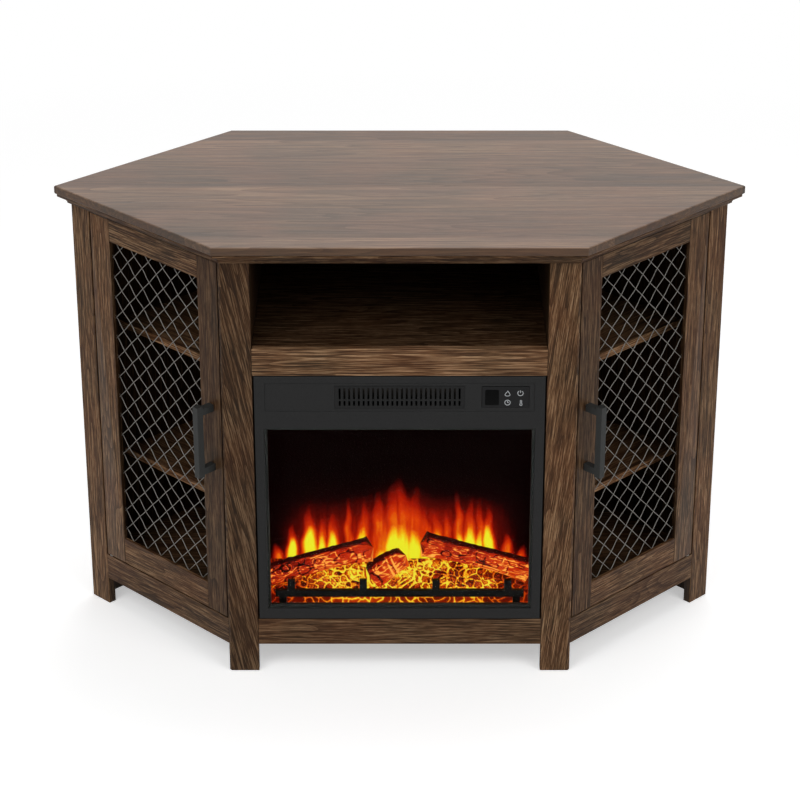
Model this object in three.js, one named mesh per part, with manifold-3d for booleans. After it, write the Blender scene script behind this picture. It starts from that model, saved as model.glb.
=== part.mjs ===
// Corner fireplace television stand: a six-sided cabinet with two wire-mesh doors,
// an open media niche and an electric fireplace insert. Millimetres, +Z up.
// Origin: floor level, in the middle of the plan. +X runs along the length, +Y to the back.
import * as THREE from 'three';
import { mergeVertices } from 'three/addons/utils/BufferGeometryUtils.js';
import Module from 'manifold-3d';

const wasm = await Module();
wasm.setup();

// Driving sizes of the cabinet
const frontEdgeLength = 618;
const angledEdgeLength = 411.536;
const overallHeight = 817.5;
const boardThickness = 15;
const topThickness = 15;
const topEase = 1.5;
const fitGap = 0.3;
const cutOverrun = 2;
const weldTolerance = 1e-4;

// Overhang of the top beyond the body
const frontOverhang = 27.5;
const rearOverhang = 10.5;

// Moulding below the top
const mouldingHeight = 22.4;
const mouldingStepIn = 3;
const mouldingFillet = 5;
const mouldingBeadHeight = 4;
const mouldingBeadDepth = 3;
const mouldingCoveInset = 5;
const mouldingCoveSteps = 8;

// Legs, posts and rails
const legWidth = 48.9;
const legReturn = 5.5;
const postWidth = 47.9;
const bottomRailLow = 54;
const bottomRailHigh = 103.8;
const edgeEase = 0.8;

// Media niche
const nicheHeight = 178.5;
const nicheRailHeight = 49;

// Side shelves
const shelfThickness = 13.5;
const upperShelfTop = 541;
const lowerShelfTop = 284;
const shelfSetback = 80;

// Back panel
const backThickness = 4;
const cableHoleDiameter = 60;
const cableHoleRise = 66;
const cutOutSegments = 12;
const serviceOpeningWidth = 300;
const serviceOpeningHeight = 300;
const serviceOpeningLow = 190;
const serviceOpeningRadius = 30;

// Doors
const doorThickness = 15;
const doorGap = 2.5;
const doorHingeGap = 3.5;
const stileWidth = 50;
const bottomDoorRailWidth = 49.8;
const topDoorRailWidth = 41;
const rebateWidth = 8;
const doorFrontLip = 6;

// Wire mesh
const wireSize = 2.2;
const netEdgeWidth = 7;
const meshPitch = 38;
const meshPhaseAlong = 22.3;
const meshPhaseHeight = 36;

// Door handle
const handleBar = 12.6;
const handleProjection = 37.3;
const handleLength = 133;
const handleCentres = 112;
const handleLow = 384.7;
const handleInset = 23.5;

// Pivot hinges
const pivotInset = 6.5;
const pinDiameter = 5;
const pinLength = 6;
const pinSegments = 20;
const pivotPlateLength = 38;
const pivotPlateWidth = 12;
const pivotPlateThickness = 2;
const pivotBearing = 3;
const plateEndSegments = 8;

// Fireplace insert
const insertSideGap = 2.4;
const insertTopGap = 1.4;
const insertBottomGap = 1.2;
const bezelThickness = 14;
const bezelChamfer = 1.2;
const windowSideBorder = 15.8;
const windowBottomBorder = 21;
const windowTopBorder = 97.3;
const glassThickness = 4;
const glassRecess = 1.5;
const windowLip = 5;
const housingDepth = 190;
const housingWall = 2;
const housingSideInset = 10;
const housingTopInset = 4;
const heaterFloorRise = 11.7;

// Heater outlet and controls
const subPanelSideBorder = 18.3;
const subPanelTopBorder = 12.6;
const subPanelHeight = 52;
const subPanelRecess = 1;
const grilleControlGap = 29.4;
const grilleHeight = 42;
const grilleDrop = 5.5;
const grilleThickness = 5;
const grilleFlange = 4;
const grilleSlotPitch = 8.1;
const grilleSlotWidth = 3.4;
const grilleUpperSlotLength = 20.5;
const grilleLowerSlotLength = 9;
const grilleSlotBridge = 3;
const controlWidth = 79.2;
const controlHeight = 38.8;
const controlDrop = 6.3;
const controlSideBorder = 27.7;
const controlThickness = 3;
const controlRaise = 0.6;

// Log set
const bedFrontRecess = 34;
const bedBackRecess = 92;
const bedFrontHeight = 40;
const bedBackHeight = 72;
const bedSideGap = 4.3;
const screenThickness = 3;
const screenGap = 0.3;
const grateRecess = 19;
const grateDepth = 8;
const grateEndGap = 11.5;
const grateRise = 32.4;
const grateBarHeight = 13.5;
const gratePostHeight = 20;
const gratePostWidth = 13;
const grateFingerShares = [-0.87, -0.293, 0.293, 0.87];
const logRadius = 22;
const crossLogRadius = 25;
const logSides = 12;
const logRings = 9;
const logEndShare = 0.78;
const logEndSlopeShare = 2.2;
const barkWaveShare = 0.08;
const barkWaveCount = 1.5;

// Flame rotor behind the screen
const rotorRecess = 135;
const rotorRise = 53.9;
const rotorRodDiameter = 6;
const rotorVaneWidth = 13;
const rotorVaneThickness = 0.8;
const rotorVaneCount = 10;
const rotorVaneShare = 0.8;
const rotorVaneTurn = Math.PI / 5;
const rotorMotorDiameter = 44;
const rotorMotorLength = 18;

// Heater blower
const blowerRecess = 92;
const blowerRise = 42;
const blowerDiameter = 46;
const blowerPastGrille = 5;
const blowerBlades = 18;
const blowerBladeThickness = 1;
const blowerBladeDepth = 7;
const blowerBladeTurn = Math.PI / 5;
const blowerDiscThickness = 1.5;
const blowerShaftDiameter = 6;
const blowerMotorDiameter = 52;
const blowerMotorLength = 50;
const blowerBracketThickness = 3;
const heaterRecess = 32;
const heaterDepth = 16;
const heaterShortOfGrille = 10;
const heaterHeight = 34;
const heaterFinPitch = 10;
const heaterFinThickness = 1.2;

// Derived plan: every outline is a distance inside or outside these lines
const diagonal = Math.SQRT1_2;
const halfDepth = angledEdgeLength * diagonal;
const halfLength = frontEdgeLength / 2 + halfDepth;
const slabLow = overallHeight - topThickness;
const mouldingLow = slabLow - mouldingHeight;
const bodyFront = -halfDepth + frontOverhang;
const bodyBack = halfDepth - rearOverhang;
const cornerShift = Math.SQRT2 - 1;
const bodyCorner = frontEdgeLength / 2 - frontOverhang * cornerShift;
const legInner = bodyCorner - legWidth;
const partitionOuter = legInner + boardThickness;
const panelTop = slabLow - fitGap;
const nicheFloorHeight = slabLow - nicheHeight;
const floorPanelTop = bottomRailHigh;
const floorPanelLow = floorPanelTop - boardThickness;
const sideLine = halfLength - rearOverhang / diagonal;
const postEnd = (sideLine - bodyCorner - bodyFront) * diagonal;
const postStart = postEnd - postWidth;
const mouldingEnd = postEnd + rearOverhang - mouldingStepIn;
const backPanelFront = bodyBack - backThickness;

// Materials in the colours of the finish
function finish(color, roughness, metalness = 0) {
  return new THREE.MeshStandardMaterial({ color, roughness, metalness });
}
const topWood = finish(0x7b6c60, 0.55);
const bodyWood = finish(0x5a4739, 0.6);
const innerWood = finish(0x4d3e33, 0.7);
const backBoard = finish(0x3f352e, 0.8);
const blackMetal = finish(0x2b2b2b, 0.45, 0.5);
const darkMetal = finish(0x3a3d3e, 0.4, 0.7);
const wireMetal = finish(0x7c7c7a, 0.4, 0.8);
const steel = finish(0xa6a8aa, 0.35, 0.9);
const glass = finish(0x14151a, 0.1);
const bark = finish(0x4a3020, 0.9);
const ember = finish(0xd9741d, 0.8);
const smoked = finish(0x17120f, 0.4);
const panelBlack = finish(0x1c1c1e, 0.3);

const stand = new THREE.Group();
stand.name = 'fireplace_tv_stand';

function place(name, geometry, material) {
  const mesh = new THREE.Mesh(geometry, material);
  mesh.name = name;
  stand.add(mesh);
}

// Closed solid from a geometry, for joins and cuts
function solidOf(geometry) {
  const bare = geometry.index ? geometry.toNonIndexed() : geometry.clone();
  for (const key of Object.keys(bare.attributes)) {
    if (key !== 'position') bare.deleteAttribute(key);
  }
  const merged = mergeVertices(bare, weldTolerance);
  const mesh = new wasm.Mesh({
    numProp: 3,
    vertProperties: new Float32Array(merged.attributes.position.array),
    triVerts: new Uint32Array(merged.index.array),
  });
  return new wasm.Manifold(mesh);
}

function geometryOf(solid) {
  const mesh = solid.getMesh();
  const geometry = new THREE.BufferGeometry();
  geometry.setAttribute('position', new THREE.BufferAttribute(new Float32Array(mesh.vertProperties), 3));
  geometry.setIndex(new THREE.BufferAttribute(new Uint32Array(mesh.triVerts), 1));
  return geometry;
}

function cutFrom(base, cutters) {
  let solid = solidOf(base);
  for (const cutter of cutters) solid = solid.subtract(solidOf(cutter));
  return geometryOf(solid);
}

function joined(geometries) {
  let solid = solidOf(geometries[0]);
  for (const geometry of geometries.slice(1)) solid = solid.add(solidOf(geometry));
  return geometryOf(solid);
}

// Box between two corners
function boxBetween(x0, x1, y0, y1, z0, z1) {
  const box = new THREE.BoxGeometry(Math.abs(x1 - x0), Math.abs(y1 - y0), Math.abs(z1 - z0));
  return box.translate((x0 + x1) / 2, (y0 + y1) / 2, (z0 + z1) / 2);
}

function shapeOf(points) {
  return new THREE.Shape(points.map(([x, y]) => new THREE.Vector2(x, y)));
}

// Board cut to a plan outline, standing from z0 to z1
function boardFromPlan(points, z0, z1) {
  const flat = new THREE.ExtrudeGeometry(shapeOf(points), { depth: z1 - z0, bevelEnabled: false });
  return flat.translate(0, 0, z0);
}

// Cylinder along X from x0 to x1
function rodAlongX(diameter, x0, x1, y, z, segments) {
  const rod = new THREE.CylinderGeometry(diameter / 2, diameter / 2, x1 - x0, segments);
  return rod.rotateZ(Math.PI / 2).translate((x0 + x1) / 2, y, z);
}

// Point on the right-hand angled front: distance along it from the front corner, and depth behind it
function angledPoint(along, depth) {
  return [
    bodyCorner + (along - depth) * diagonal,
    bodyFront + (along + depth) * diagonal,
  ];
}

// Point where a line parallel to the angled front meets the inner face of the side panel
function sidePanelPoint(depthBehindFront, depthInside) {
  return angledPoint(postEnd - depthInside, depthBehindFront);
}

function onSide(side, points) {
  return points.map(([x, y]) => [x * side, y]);
}

// Where the side panel line, moved inwards, reaches a given y
function sideLineAt(y, depthInside) {
  return sideLine - depthInside / diagonal - y;
}

// Turns a piece drawn in the door's own axes (x along the front, y depth, z up) to its side
function toAngledFront(geometry, side) {
  const matrix = new THREE.Matrix4().set(
    diagonal * side, -diagonal * side, 0, bodyCorner * side,
    diagonal, diagonal, 0, bodyFront,
    0, 0, 1, 0,
    0, 0, 0, 1,
  );
  const turned = geometry.index ? geometry.toNonIndexed() : geometry.clone();
  turned.applyMatrix4(matrix);
  if (side < 0) {
    const positions = turned.attributes.position;
    const spare = new THREE.Vector3();
    const other = new THREE.Vector3();
    for (let i = 0; i < positions.count; i += 3) {
      spare.fromBufferAttribute(positions, i + 1);
      other.fromBufferAttribute(positions, i + 2);
      positions.setXYZ(i + 1, other.x, other.y, other.z);
      positions.setXYZ(i + 2, spare.x, spare.y, spare.z);
    }
    turned.deleteAttribute('normal');
  }
  return turned;
}

// Strip with one profile and two slanted ends: each profile point has its own start and end
function mitredStrip(outline, startOf, endOf) {
  const drawn = outline.map(([u, z]) => new THREE.Vector2(u, z));
  const isReversed = THREE.ShapeUtils.isClockWise(drawn);
  const profile = isReversed ? [...outline].reverse() : outline;
  const contour = isReversed ? drawn.reverse() : drawn;
  const caps = THREE.ShapeUtils.triangulateShape(contour, []);
  const corners = [];
  for (const [u, z] of profile) corners.push([...startOf(u), z]);
  for (const [u, z] of profile) corners.push([...endOf(u), z]);
  const count = profile.length;
  const faces = [];
  for (let i = 0; i < count; i += 1) {
    const next = (i + 1) % count;
    faces.push([i, next, count + next], [i, count + next, count + i]);
  }
  for (const [a, b, c] of caps) {
    faces.push([c, b, a], [count + a, count + b, count + c]);
  }
  const positions = faces.flat().flatMap((index) => corners[index]);
  const geometry = new THREE.BufferGeometry();
  geometry.setAttribute('position', new THREE.Float32BufferAttribute(positions, 3));
  return facingOut(geometry);
}

// Turns every face over when the enclosed volume comes out negative
function facingOut(geometry) {
  const p = geometry.attributes.position;
  const a = new THREE.Vector3();
  const b = new THREE.Vector3();
  const c = new THREE.Vector3();
  let volume = 0;
  for (let i = 0; i < p.count; i += 3) {
    a.fromBufferAttribute(p, i);
    b.fromBufferAttribute(p, i + 1);
    c.fromBufferAttribute(p, i + 2);
    volume += a.dot(b.cross(c));
  }
  if (volume < 0) {
    for (let i = 0; i < p.count; i += 3) {
      b.fromBufferAttribute(p, i + 1);
      c.fromBufferAttribute(p, i + 2);
      p.setXYZ(i + 1, c.x, c.y, c.z);
      p.setXYZ(i + 2, b.x, b.y, b.z);
    }
  }
  return geometry;
}

// Rectangle outline with rounded corners
function roundedRectangle(x0, x1, z0, z1, radius) {
  const shape = new THREE.Shape();
  shape.moveTo(x0 + radius, z0);
  shape.lineTo(x1 - radius, z0);
  shape.absarc(x1 - radius, z0 + radius, radius, -Math.PI / 2, 0);
  shape.lineTo(x1, z1 - radius);
  shape.absarc(x1 - radius, z1 - radius, radius, 0, Math.PI / 2);
  shape.lineTo(x0 + radius, z1);
  shape.absarc(x0 + radius, z1 - radius, radius, Math.PI / 2, Math.PI);
  shape.lineTo(x0, z0 + radius);
  shape.absarc(x0 + radius, z0 + radius, radius, Math.PI, Math.PI * 1.5);
  return shape;
}

// Sizes that the door pieces share: along is measured from the front corner
const doorStart = legReturn + doorGap;
const doorEnd = postStart - doorHingeGap;
const doorLow = bottomRailHigh + doorGap;
const doorHigh = mouldingLow - doorGap;
const openStart = doorStart + stileWidth;
const openEnd = doorEnd - stileWidth;
const openLow = doorLow + bottomDoorRailWidth;
const openHigh = doorHigh - topDoorRailWidth;
const pivotAlong = doorEnd - pivotInset;

function verticalRod(diameter, along, depth, z0, z1) {
  const rod = new THREE.CylinderGeometry(diameter / 2, diameter / 2, z1 - z0, pinSegments);
  return rod.rotateX(Math.PI / 2).translate(along, depth, (z0 + z1) / 2);
}

// Hole that a pivot bush sits in, from a frame piece's face inwards (way is up or down)
function bushSeat(face, way) {
  const outside = face - way * cutOverrun;
  const inside = face + way * (pinLength + pivotBearing);
  const diameter = pinDiameter + 2 * pivotBearing + 2 * fitGap;
  return verticalRod(diameter, pivotAlong, pivotInset, Math.min(outside, inside), Math.max(outside, inside));
}

// Top: one six-sided slab with eased edges
function makeTop() {
  const half = frontEdgeLength / 2;
  const outline = shapeOf([
    [-half, -halfDepth], [half, -halfDepth], [halfLength, 0],
    [half, halfDepth], [-half, halfDepth], [-halfLength, 0],
  ]);
  const slab = new THREE.ExtrudeGeometry(outline, {
    depth: topThickness - 2 * topEase,
    bevelThickness: topEase,
    bevelSize: topEase,
    bevelOffset: -topEase,
    bevelSegments: 1,
  });
  place('top_panel', slab.translate(0, 0, slabLow + topEase), topWood);
}

// Moulding: a frame strip with a step, a cove and a small bead, mitred at the front corners
function makeMoulding() {
  const high = slabLow - fitGap;
  const outer = frontOverhang - mouldingStepIn;
  const coveLow = mouldingLow + mouldingBeadHeight;
  const coveHigh = high - mouldingFillet;
  const profile = [[-boardThickness, mouldingLow], [-boardThickness, high], [outer, high]];
  for (let i = 0; i <= mouldingCoveSteps; i += 1) {
    const turn = (i / mouldingCoveSteps) * (Math.PI / 2);
    profile.push([
      outer - (outer - mouldingCoveInset) * Math.sin(turn),
      coveLow + (coveHigh - coveLow) * Math.cos(turn),
    ]);
  }
  profile.push([mouldingBeadDepth, coveLow], [mouldingBeadDepth, mouldingLow]);
  const mitre = Math.tan(Math.PI / 8);
  const frontStart = (u) => [-bodyCorner - u * mitre + fitGap / 2, bodyFront - u];
  const frontEnd = (u) => [bodyCorner + u * mitre - fitGap / 2, bodyFront - u];
  place('top_moulding_front', mitredStrip(profile, frontStart, frontEnd), bodyWood);
  for (const [label, side] of [['left', -1], ['right', 1]]) {
    const start = (u) => {
      const [x, y] = angledPoint(-u * mitre + fitGap / 2, -u);
      return [x * side, y];
    };
    const end = (u) => {
      const [x, y] = angledPoint(mouldingEnd, -u);
      return [x * side, y];
    };
    const seat = toAngledFront(bushSeat(mouldingLow, 1), side);
    place(`top_moulding_${label}`, cutFrom(mitredStrip(profile, start, end), [seat]), bodyWood);
  }
}

// Front legs: boards with a narrow return along the angled front
function makeLegs() {
  for (const [label, side] of [['left', -1], ['right', 1]]) {
    const [returnX, returnY] = angledPoint(legReturn, 0);
    const innerDepth = boardThickness - legReturn * diagonal;
    const outline = onSide(side, [
      [legInner, bodyFront + edgeEase],
      [legInner + edgeEase, bodyFront],
      [bodyCorner, bodyFront],
      [returnX, returnY],
      [returnX - innerDepth, returnY + innerDepth],
      [legInner, bodyFront + boardThickness],
    ]);
    place(`front_leg_${label}`, boardFromPlan(outline, 0, mouldingLow - fitGap), bodyWood);
  }
}

// Side posts: boards in the angled front, at its outer end
function makePosts() {
  for (const [label, side] of [['left', -1], ['right', 1]]) {
    const outline = onSide(side, [
      angledPoint(postStart, edgeEase),
      angledPoint(postStart + edgeEase, 0),
      angledPoint(postEnd - edgeEase, 0),
      angledPoint(postEnd, edgeEase),
      angledPoint(postEnd, boardThickness),
      angledPoint(postStart, boardThickness),
    ]);
    place(`side_post_${label}`, boardFromPlan(outline, 0, mouldingLow - fitGap), bodyWood);
  }
}

// Side panels: square to the angled front, from the post to the back
function makeSidePanels() {
  const rear = backPanelFront - fitGap;
  const front = boardThickness + fitGap;
  for (const [label, side] of [['left', -1], ['right', 1]]) {
    const outline = onSide(side, [
      sidePanelPoint(front, 0),
      [sideLineAt(rear, 0), rear],
      [sideLineAt(rear, boardThickness), rear],
      sidePanelPoint(front, boardThickness),
    ]);
    place(`side_panel_${label}`, boardFromPlan(outline, 0, panelTop), bodyWood);
  }
}

// Bottom panel, partitions, niche shelf and side shelves
function makeInnerBoards() {
  const rear = backPanelFront - fitGap;
  const front = bodyFront + boardThickness + fitGap;
  const behind = boardThickness + fitGap;
  const inside = boardThickness + fitGap;
  const frontCorner = bodyCorner - behind * cornerShift;
  const rightHalf = [
    [frontCorner, front],
    sidePanelPoint(behind, inside),
    [sideLineAt(rear, inside), rear],
  ];
  const leftHalf = onSide(-1, rightHalf).reverse();
  const bottom = boardFromPlan([...rightHalf, ...leftHalf], floorPanelLow, floorPanelTop);
  place('bottom_panel', bottom, innerWood);

  const above = floorPanelTop + fitGap;
  for (const [label, side] of [['left', -1], ['right', 1]]) {
    const wall = boxBetween(legInner * side, partitionOuter * side, front, rear, above, panelTop);
    place(`partition_${label}`, wall, innerWood);
  }

  const clear = legInner - fitGap;
  const shelfLow = nicheFloorHeight - boardThickness;
  place('niche_shelf', boxBetween(-clear, clear, front, rear, shelfLow, nicheFloorHeight), bodyWood);
  const railLow = nicheFloorHeight - nicheRailHeight;
  const rail = boxBetween(-clear, clear, bodyFront, bodyFront + boardThickness, railLow, nicheFloorHeight);
  place('niche_rail', rail, bodyWood);

  const partitionFace = partitionOuter + fitGap;
  const setbackY = bodyFront + (partitionFace - bodyCorner) + shelfSetback / diagonal;
  for (const [label, side] of [['left', -1], ['right', 1]]) {
    const outline = onSide(side, [
      [partitionFace, setbackY],
      sidePanelPoint(shelfSetback, inside),
      [sideLineAt(rear, inside), rear],
      [partitionFace, rear],
    ]);
    for (const [level, top] of [['upper', upperShelfTop], ['lower', lowerShelfTop]]) {
      place(`side_shelf_${level}_${label}`, boardFromPlan(outline, top - shelfThickness, top), innerWood);
    }
  }
}

// Bottom rails between legs and posts
function makeBottomRails() {
  const clear = legInner - fitGap;
  const back = bodyFront + boardThickness;
  const front = boxBetween(-clear, clear, bodyFront, back, bottomRailLow, bottomRailHigh);
  place('bottom_rail_front', front, bodyWood);
  for (const [label, side] of [['left', -1], ['right', 1]]) {
    const rail = boxBetween(
      legReturn + fitGap, postStart - fitGap, 0, boardThickness, bottomRailLow, bottomRailHigh,
    );
    const seated = cutFrom(rail, [bushSeat(bottomRailHigh, -1)]);
    place(`bottom_rail_${label}`, toAngledFront(seated, side), bodyWood);
  }
}

// Thin back panel with a cable hole behind the niche and a service opening behind the insert
function makeBackPanel() {
  const half = sideLineAt(backPanelFront, boardThickness / 2);
  const outline = shapeOf([
    [-half, floorPanelLow], [half, floorPanelLow], [half, panelTop], [-half, panelTop],
  ]);
  const cableHole = new THREE.Path();
  cableHole.absarc(0, nicheFloorHeight + cableHoleRise, cableHoleDiameter / 2, 0, Math.PI * 2, true);
  const serviceHole = roundedRectangle(
    -serviceOpeningWidth / 2, serviceOpeningWidth / 2,
    serviceOpeningLow, serviceOpeningLow + serviceOpeningHeight, serviceOpeningRadius,
  );
  outline.holes.push(cableHole, serviceHole);
  const flat = new THREE.ExtrudeGeometry(outline, {
    depth: backThickness, bevelEnabled: false, curveSegments: cutOutSegments,
  });
  place('back_panel', flat.rotateX(Math.PI / 2).translate(0, bodyBack, 0), backBoard);
}

// Outline of a plate with one round end on the pivot axis
function pivotPlate(z0, z1, endClearance) {
  const half = pivotPlateWidth / 2 + endClearance;
  const shape = new THREE.Shape();
  const tail = pivotAlong - pivotPlateLength - endClearance;
  shape.moveTo(tail, pivotInset - half);
  shape.lineTo(pivotAlong, pivotInset - half);
  shape.absarc(pivotAlong, pivotInset, half, -Math.PI / 2, Math.PI / 2);
  shape.lineTo(tail, pivotInset + half);
  const flat = new THREE.ExtrudeGeometry(shape, {
    depth: z1 - z0, bevelEnabled: false, curveSegments: plateEndSegments,
  });
  return flat.translate(0, 0, z0);
}

// Stile: a full-height board with a rebate behind the opening and a recess at each end for the pivot
function makeStile(start, end, openingIsAfter, withPivots) {
  const board = boxBetween(start, end, 0, doorThickness, doorLow, doorHigh);
  const rebateFrom = openingIsAfter ? end - rebateWidth : start - cutOverrun;
  const rebateTo = openingIsAfter ? end + cutOverrun : start + rebateWidth;
  const cutters = [boxBetween(
    rebateFrom, rebateTo, doorFrontLip, doorThickness + cutOverrun,
    openLow - rebateWidth, openHigh + rebateWidth,
  )];
  if (withPivots) {
    const deep = pivotPlateThickness + fitGap;
    cutters.push(pivotPlate(doorLow - cutOverrun, doorLow + deep, fitGap));
    cutters.push(pivotPlate(doorHigh - deep, doorHigh + cutOverrun, fitGap));
  }
  return cutFrom(board, cutters);
}

// Door rail: an extruded section with its rebate along the opening's edge
function makeDoorRail(z0, z1, rebateIsAbove) {
  const inner = rebateIsAbove ? z1 : z0;
  const step = rebateIsAbove ? -rebateWidth : rebateWidth;
  const outer = rebateIsAbove ? z0 : z1;
  const section = shapeOf([
    [0, outer], [0, inner], [doorFrontLip, inner], [doorFrontLip, inner + step],
    [doorThickness, inner + step], [doorThickness, outer],
  ]);
  const start = openStart + fitGap;
  const end = openEnd - fitGap;
  const bar = new THREE.ExtrudeGeometry(section, { depth: end - start, bevelEnabled: false });
  const matrix = new THREE.Matrix4().set(
    0, 0, 1, start,
    1, 0, 0, 0,
    0, 1, 0, 0,
    0, 0, 0, 1,
  );
  return bar.applyMatrix4(matrix);
}

// Wire net: a sheet of wire thickness, cut by square gaps that stand on their corners,
// with a plain edge that the rebate holds
function makeWireNet() {
  const margin = rebateWidth - fitGap;
  const low = openLow - margin;
  const high = openHigh + margin;
  const start = openStart - margin;
  const end = openEnd + margin;
  const near = doorFrontLip + fitGap;
  const far = near + wireSize;
  const gapSize = meshPitch * diagonal - wireSize;
  const halfPitch = meshPitch / 2;
  const firstAlong = openStart + meshPhaseAlong;
  const firstHeight = openLow + meshPhaseHeight;
  const columns = Math.ceil((end - start) / halfPitch) + 1;
  const rows = Math.ceil((high - low) / halfPitch) + 1;
  const gaps = [];
  for (let column = -columns; column <= columns; column += 1) {
    for (let row = -rows; row <= rows; row += 1) {
      if ((column + row) % 2 === 0) continue;
      const along = firstAlong + column * halfPitch;
      const height = firstHeight + row * halfPitch;
      if (along < start - halfPitch || along > end + halfPitch) continue;
      if (height < low - halfPitch || height > high + halfPitch) continue;
      const gap = new THREE.BoxGeometry(gapSize, wireSize + 2 * cutOverrun, gapSize);
      gap.rotateY(Math.PI / 4).translate(along, (near + far) / 2, height);
      gaps.push(solidOf(gap));
    }
  }
  const inside = solidOf(boxBetween(
    start + netEdgeWidth, end - netEdgeWidth, near - cutOverrun, far + cutOverrun,
    low + netEdgeWidth, high - netEdgeWidth,
  ));
  const sheet = solidOf(boxBetween(start, end, near, far, low, high));
  return geometryOf(sheet.subtract(wasm.Manifold.compose(gaps).intersect(inside)));
}

// Handle: a square bar on two square posts
function makeHandle() {
  const middle = doorStart + handleInset;
  const half = handleBar / 2;
  const outer = -handleProjection;
  const inner = outer + handleBar;
  const bar = boxBetween(middle - half, middle + half, outer, inner, handleLow, handleLow + handleLength);
  const centre = handleLow + handleLength / 2;
  const posts = [-1, 1].map((way) => {
    const z = centre + way * handleCentres / 2;
    return boxBetween(middle - half, middle + half, outer + half, -fitGap, z - half, z + half);
  });
  return joined([bar, ...posts]);
}

// Pivots: a plate with a pin let into the door's end, and a bushed plate on the frame
function makePivots(label, side) {
  const ends = [
    ['lower', doorLow, -1, bottomRailHigh],
    ['upper', doorHigh, 1, mouldingLow],
  ];
  for (const [level, doorEdge, way, frameFace] of ends) {
    const inner = doorEdge - way * (pivotPlateThickness);
    const plateLow = Math.min(doorEdge, inner);
    const plateHigh = Math.max(doorEdge, inner);
    const tip = doorEdge + way * (doorGap + pinLength);
    const pinLow = Math.min(inner, tip);
    const pinHigh = Math.max(inner, tip);
    const plate = joined([
      pivotPlate(plateLow, plateHigh, 0),
      verticalRod(pinDiameter, pivotAlong, pivotInset, pinLow, pinHigh),
    ]);
    place(`door_pivot_pin_${level}_${label}`, toAngledFront(plate, side), steel);

    const seatNear = frameFace;
    const seatFar = frameFace + way * (pinLength + pivotBearing);
    const bushLow = Math.min(seatNear, seatFar) + (way > 0 ? 0 : fitGap);
    const bushHigh = Math.max(seatNear, seatFar) - (way > 0 ? fitGap : 0);
    const bush = cutFrom(
      verticalRod(pinDiameter + 2 * pivotBearing, pivotAlong, pivotInset, bushLow, bushHigh),
      [verticalRod(
        pinDiameter + 2 * fitGap, pivotAlong, pivotInset,
        Math.min(seatNear - way * cutOverrun, tip + way * fitGap),
        Math.max(seatNear - way * cutOverrun, tip + way * fitGap),
      )],
    );
    place(`pivot_bush_${level}_${label}`, toAngledFront(bush, side), darkMetal);
  }
}

function makeDoors() {
  const netGeometry = makeWireNet();
  for (const [label, side] of [['left', -1], ['right', 1]]) {
    const pieces = {
      [`door_handle_stile_${label}`]: [makeStile(doorStart, openStart, true, false), bodyWood],
      [`door_hinge_stile_${label}`]: [makeStile(openEnd, doorEnd, false, true), bodyWood],
      [`door_bottom_rail_${label}`]: [makeDoorRail(doorLow, openLow, true), bodyWood],
      [`door_top_rail_${label}`]: [makeDoorRail(openHigh, doorHigh, false), bodyWood],
      [`door_wire_mesh_${label}`]: [netGeometry, wireMetal],
      [`door_handle_${label}`]: [makeHandle(), darkMetal],
    };
    for (const [name, [geometry, material]] of Object.entries(pieces)) {
      place(name, toAngledFront(geometry, side), material);
    }
    makePivots(label, side);
  }
}

// Sizes that the insert's pieces share
const insertHalf = legInner - insertSideGap;
const insertLow = bottomRailHigh + insertBottomGap;
const insertHigh = nicheFloorHeight - nicheRailHeight - insertTopGap;
const bezelBack = bodyFront + bezelThickness;
const housingHalf = insertHalf - housingSideInset;
const housingLow = floorPanelTop + fitGap;
const housingHigh = insertHigh - housingTopInset;
const housingFront = bezelBack + fitGap;
const housingBack = bodyFront + housingDepth;
const chamberFloor = housingLow + housingWall;
const windowHalf = insertHalf - windowSideBorder;
const windowLow = insertLow + windowBottomBorder;
const windowHigh = insertHigh - windowTopBorder;
const heaterFloorHeight = windowHigh + heaterFloorRise;
const blowerHeight = heaterFloorHeight + blowerRise;
const rotorHeight = chamberFloor + rotorRise;
const subPanelHigh = insertHigh - subPanelTopBorder;
const grilleHigh = subPanelHigh - grilleDrop;
const grilleLow = grilleHigh - grilleHeight;
const controlRight = insertHalf - controlSideBorder;
const controlLeft = controlRight - controlWidth;
const controlHigh = subPanelHigh - controlDrop;
const grilleHalf = controlLeft - grilleControlGap;
const grilleSlotSpan = 2 * (grilleHalf - grilleFlange) - grilleSlotWidth;
const grilleSlotCount = Math.floor(grilleSlotSpan / grilleSlotPitch) + 1;
const blowerHalf = grilleHalf + blowerPastGrille;
const heaterHalf = grilleHalf - heaterShortOfGrille;
const controlLow = controlHigh - controlHeight;
const bedHalf = housingHalf - housingWall - bedSideGap;
const screenFront = bodyFront + bedBackRecess + screenGap;
const rotorStart = -(housingHalf - housingWall - fitGap) + rotorMotorLength / 2;

function slot(x, z0, z1, y0, y1, width) {
  return boxBetween(x - width / 2, x + width / 2, y0, y1, z0, z1);
}

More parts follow.
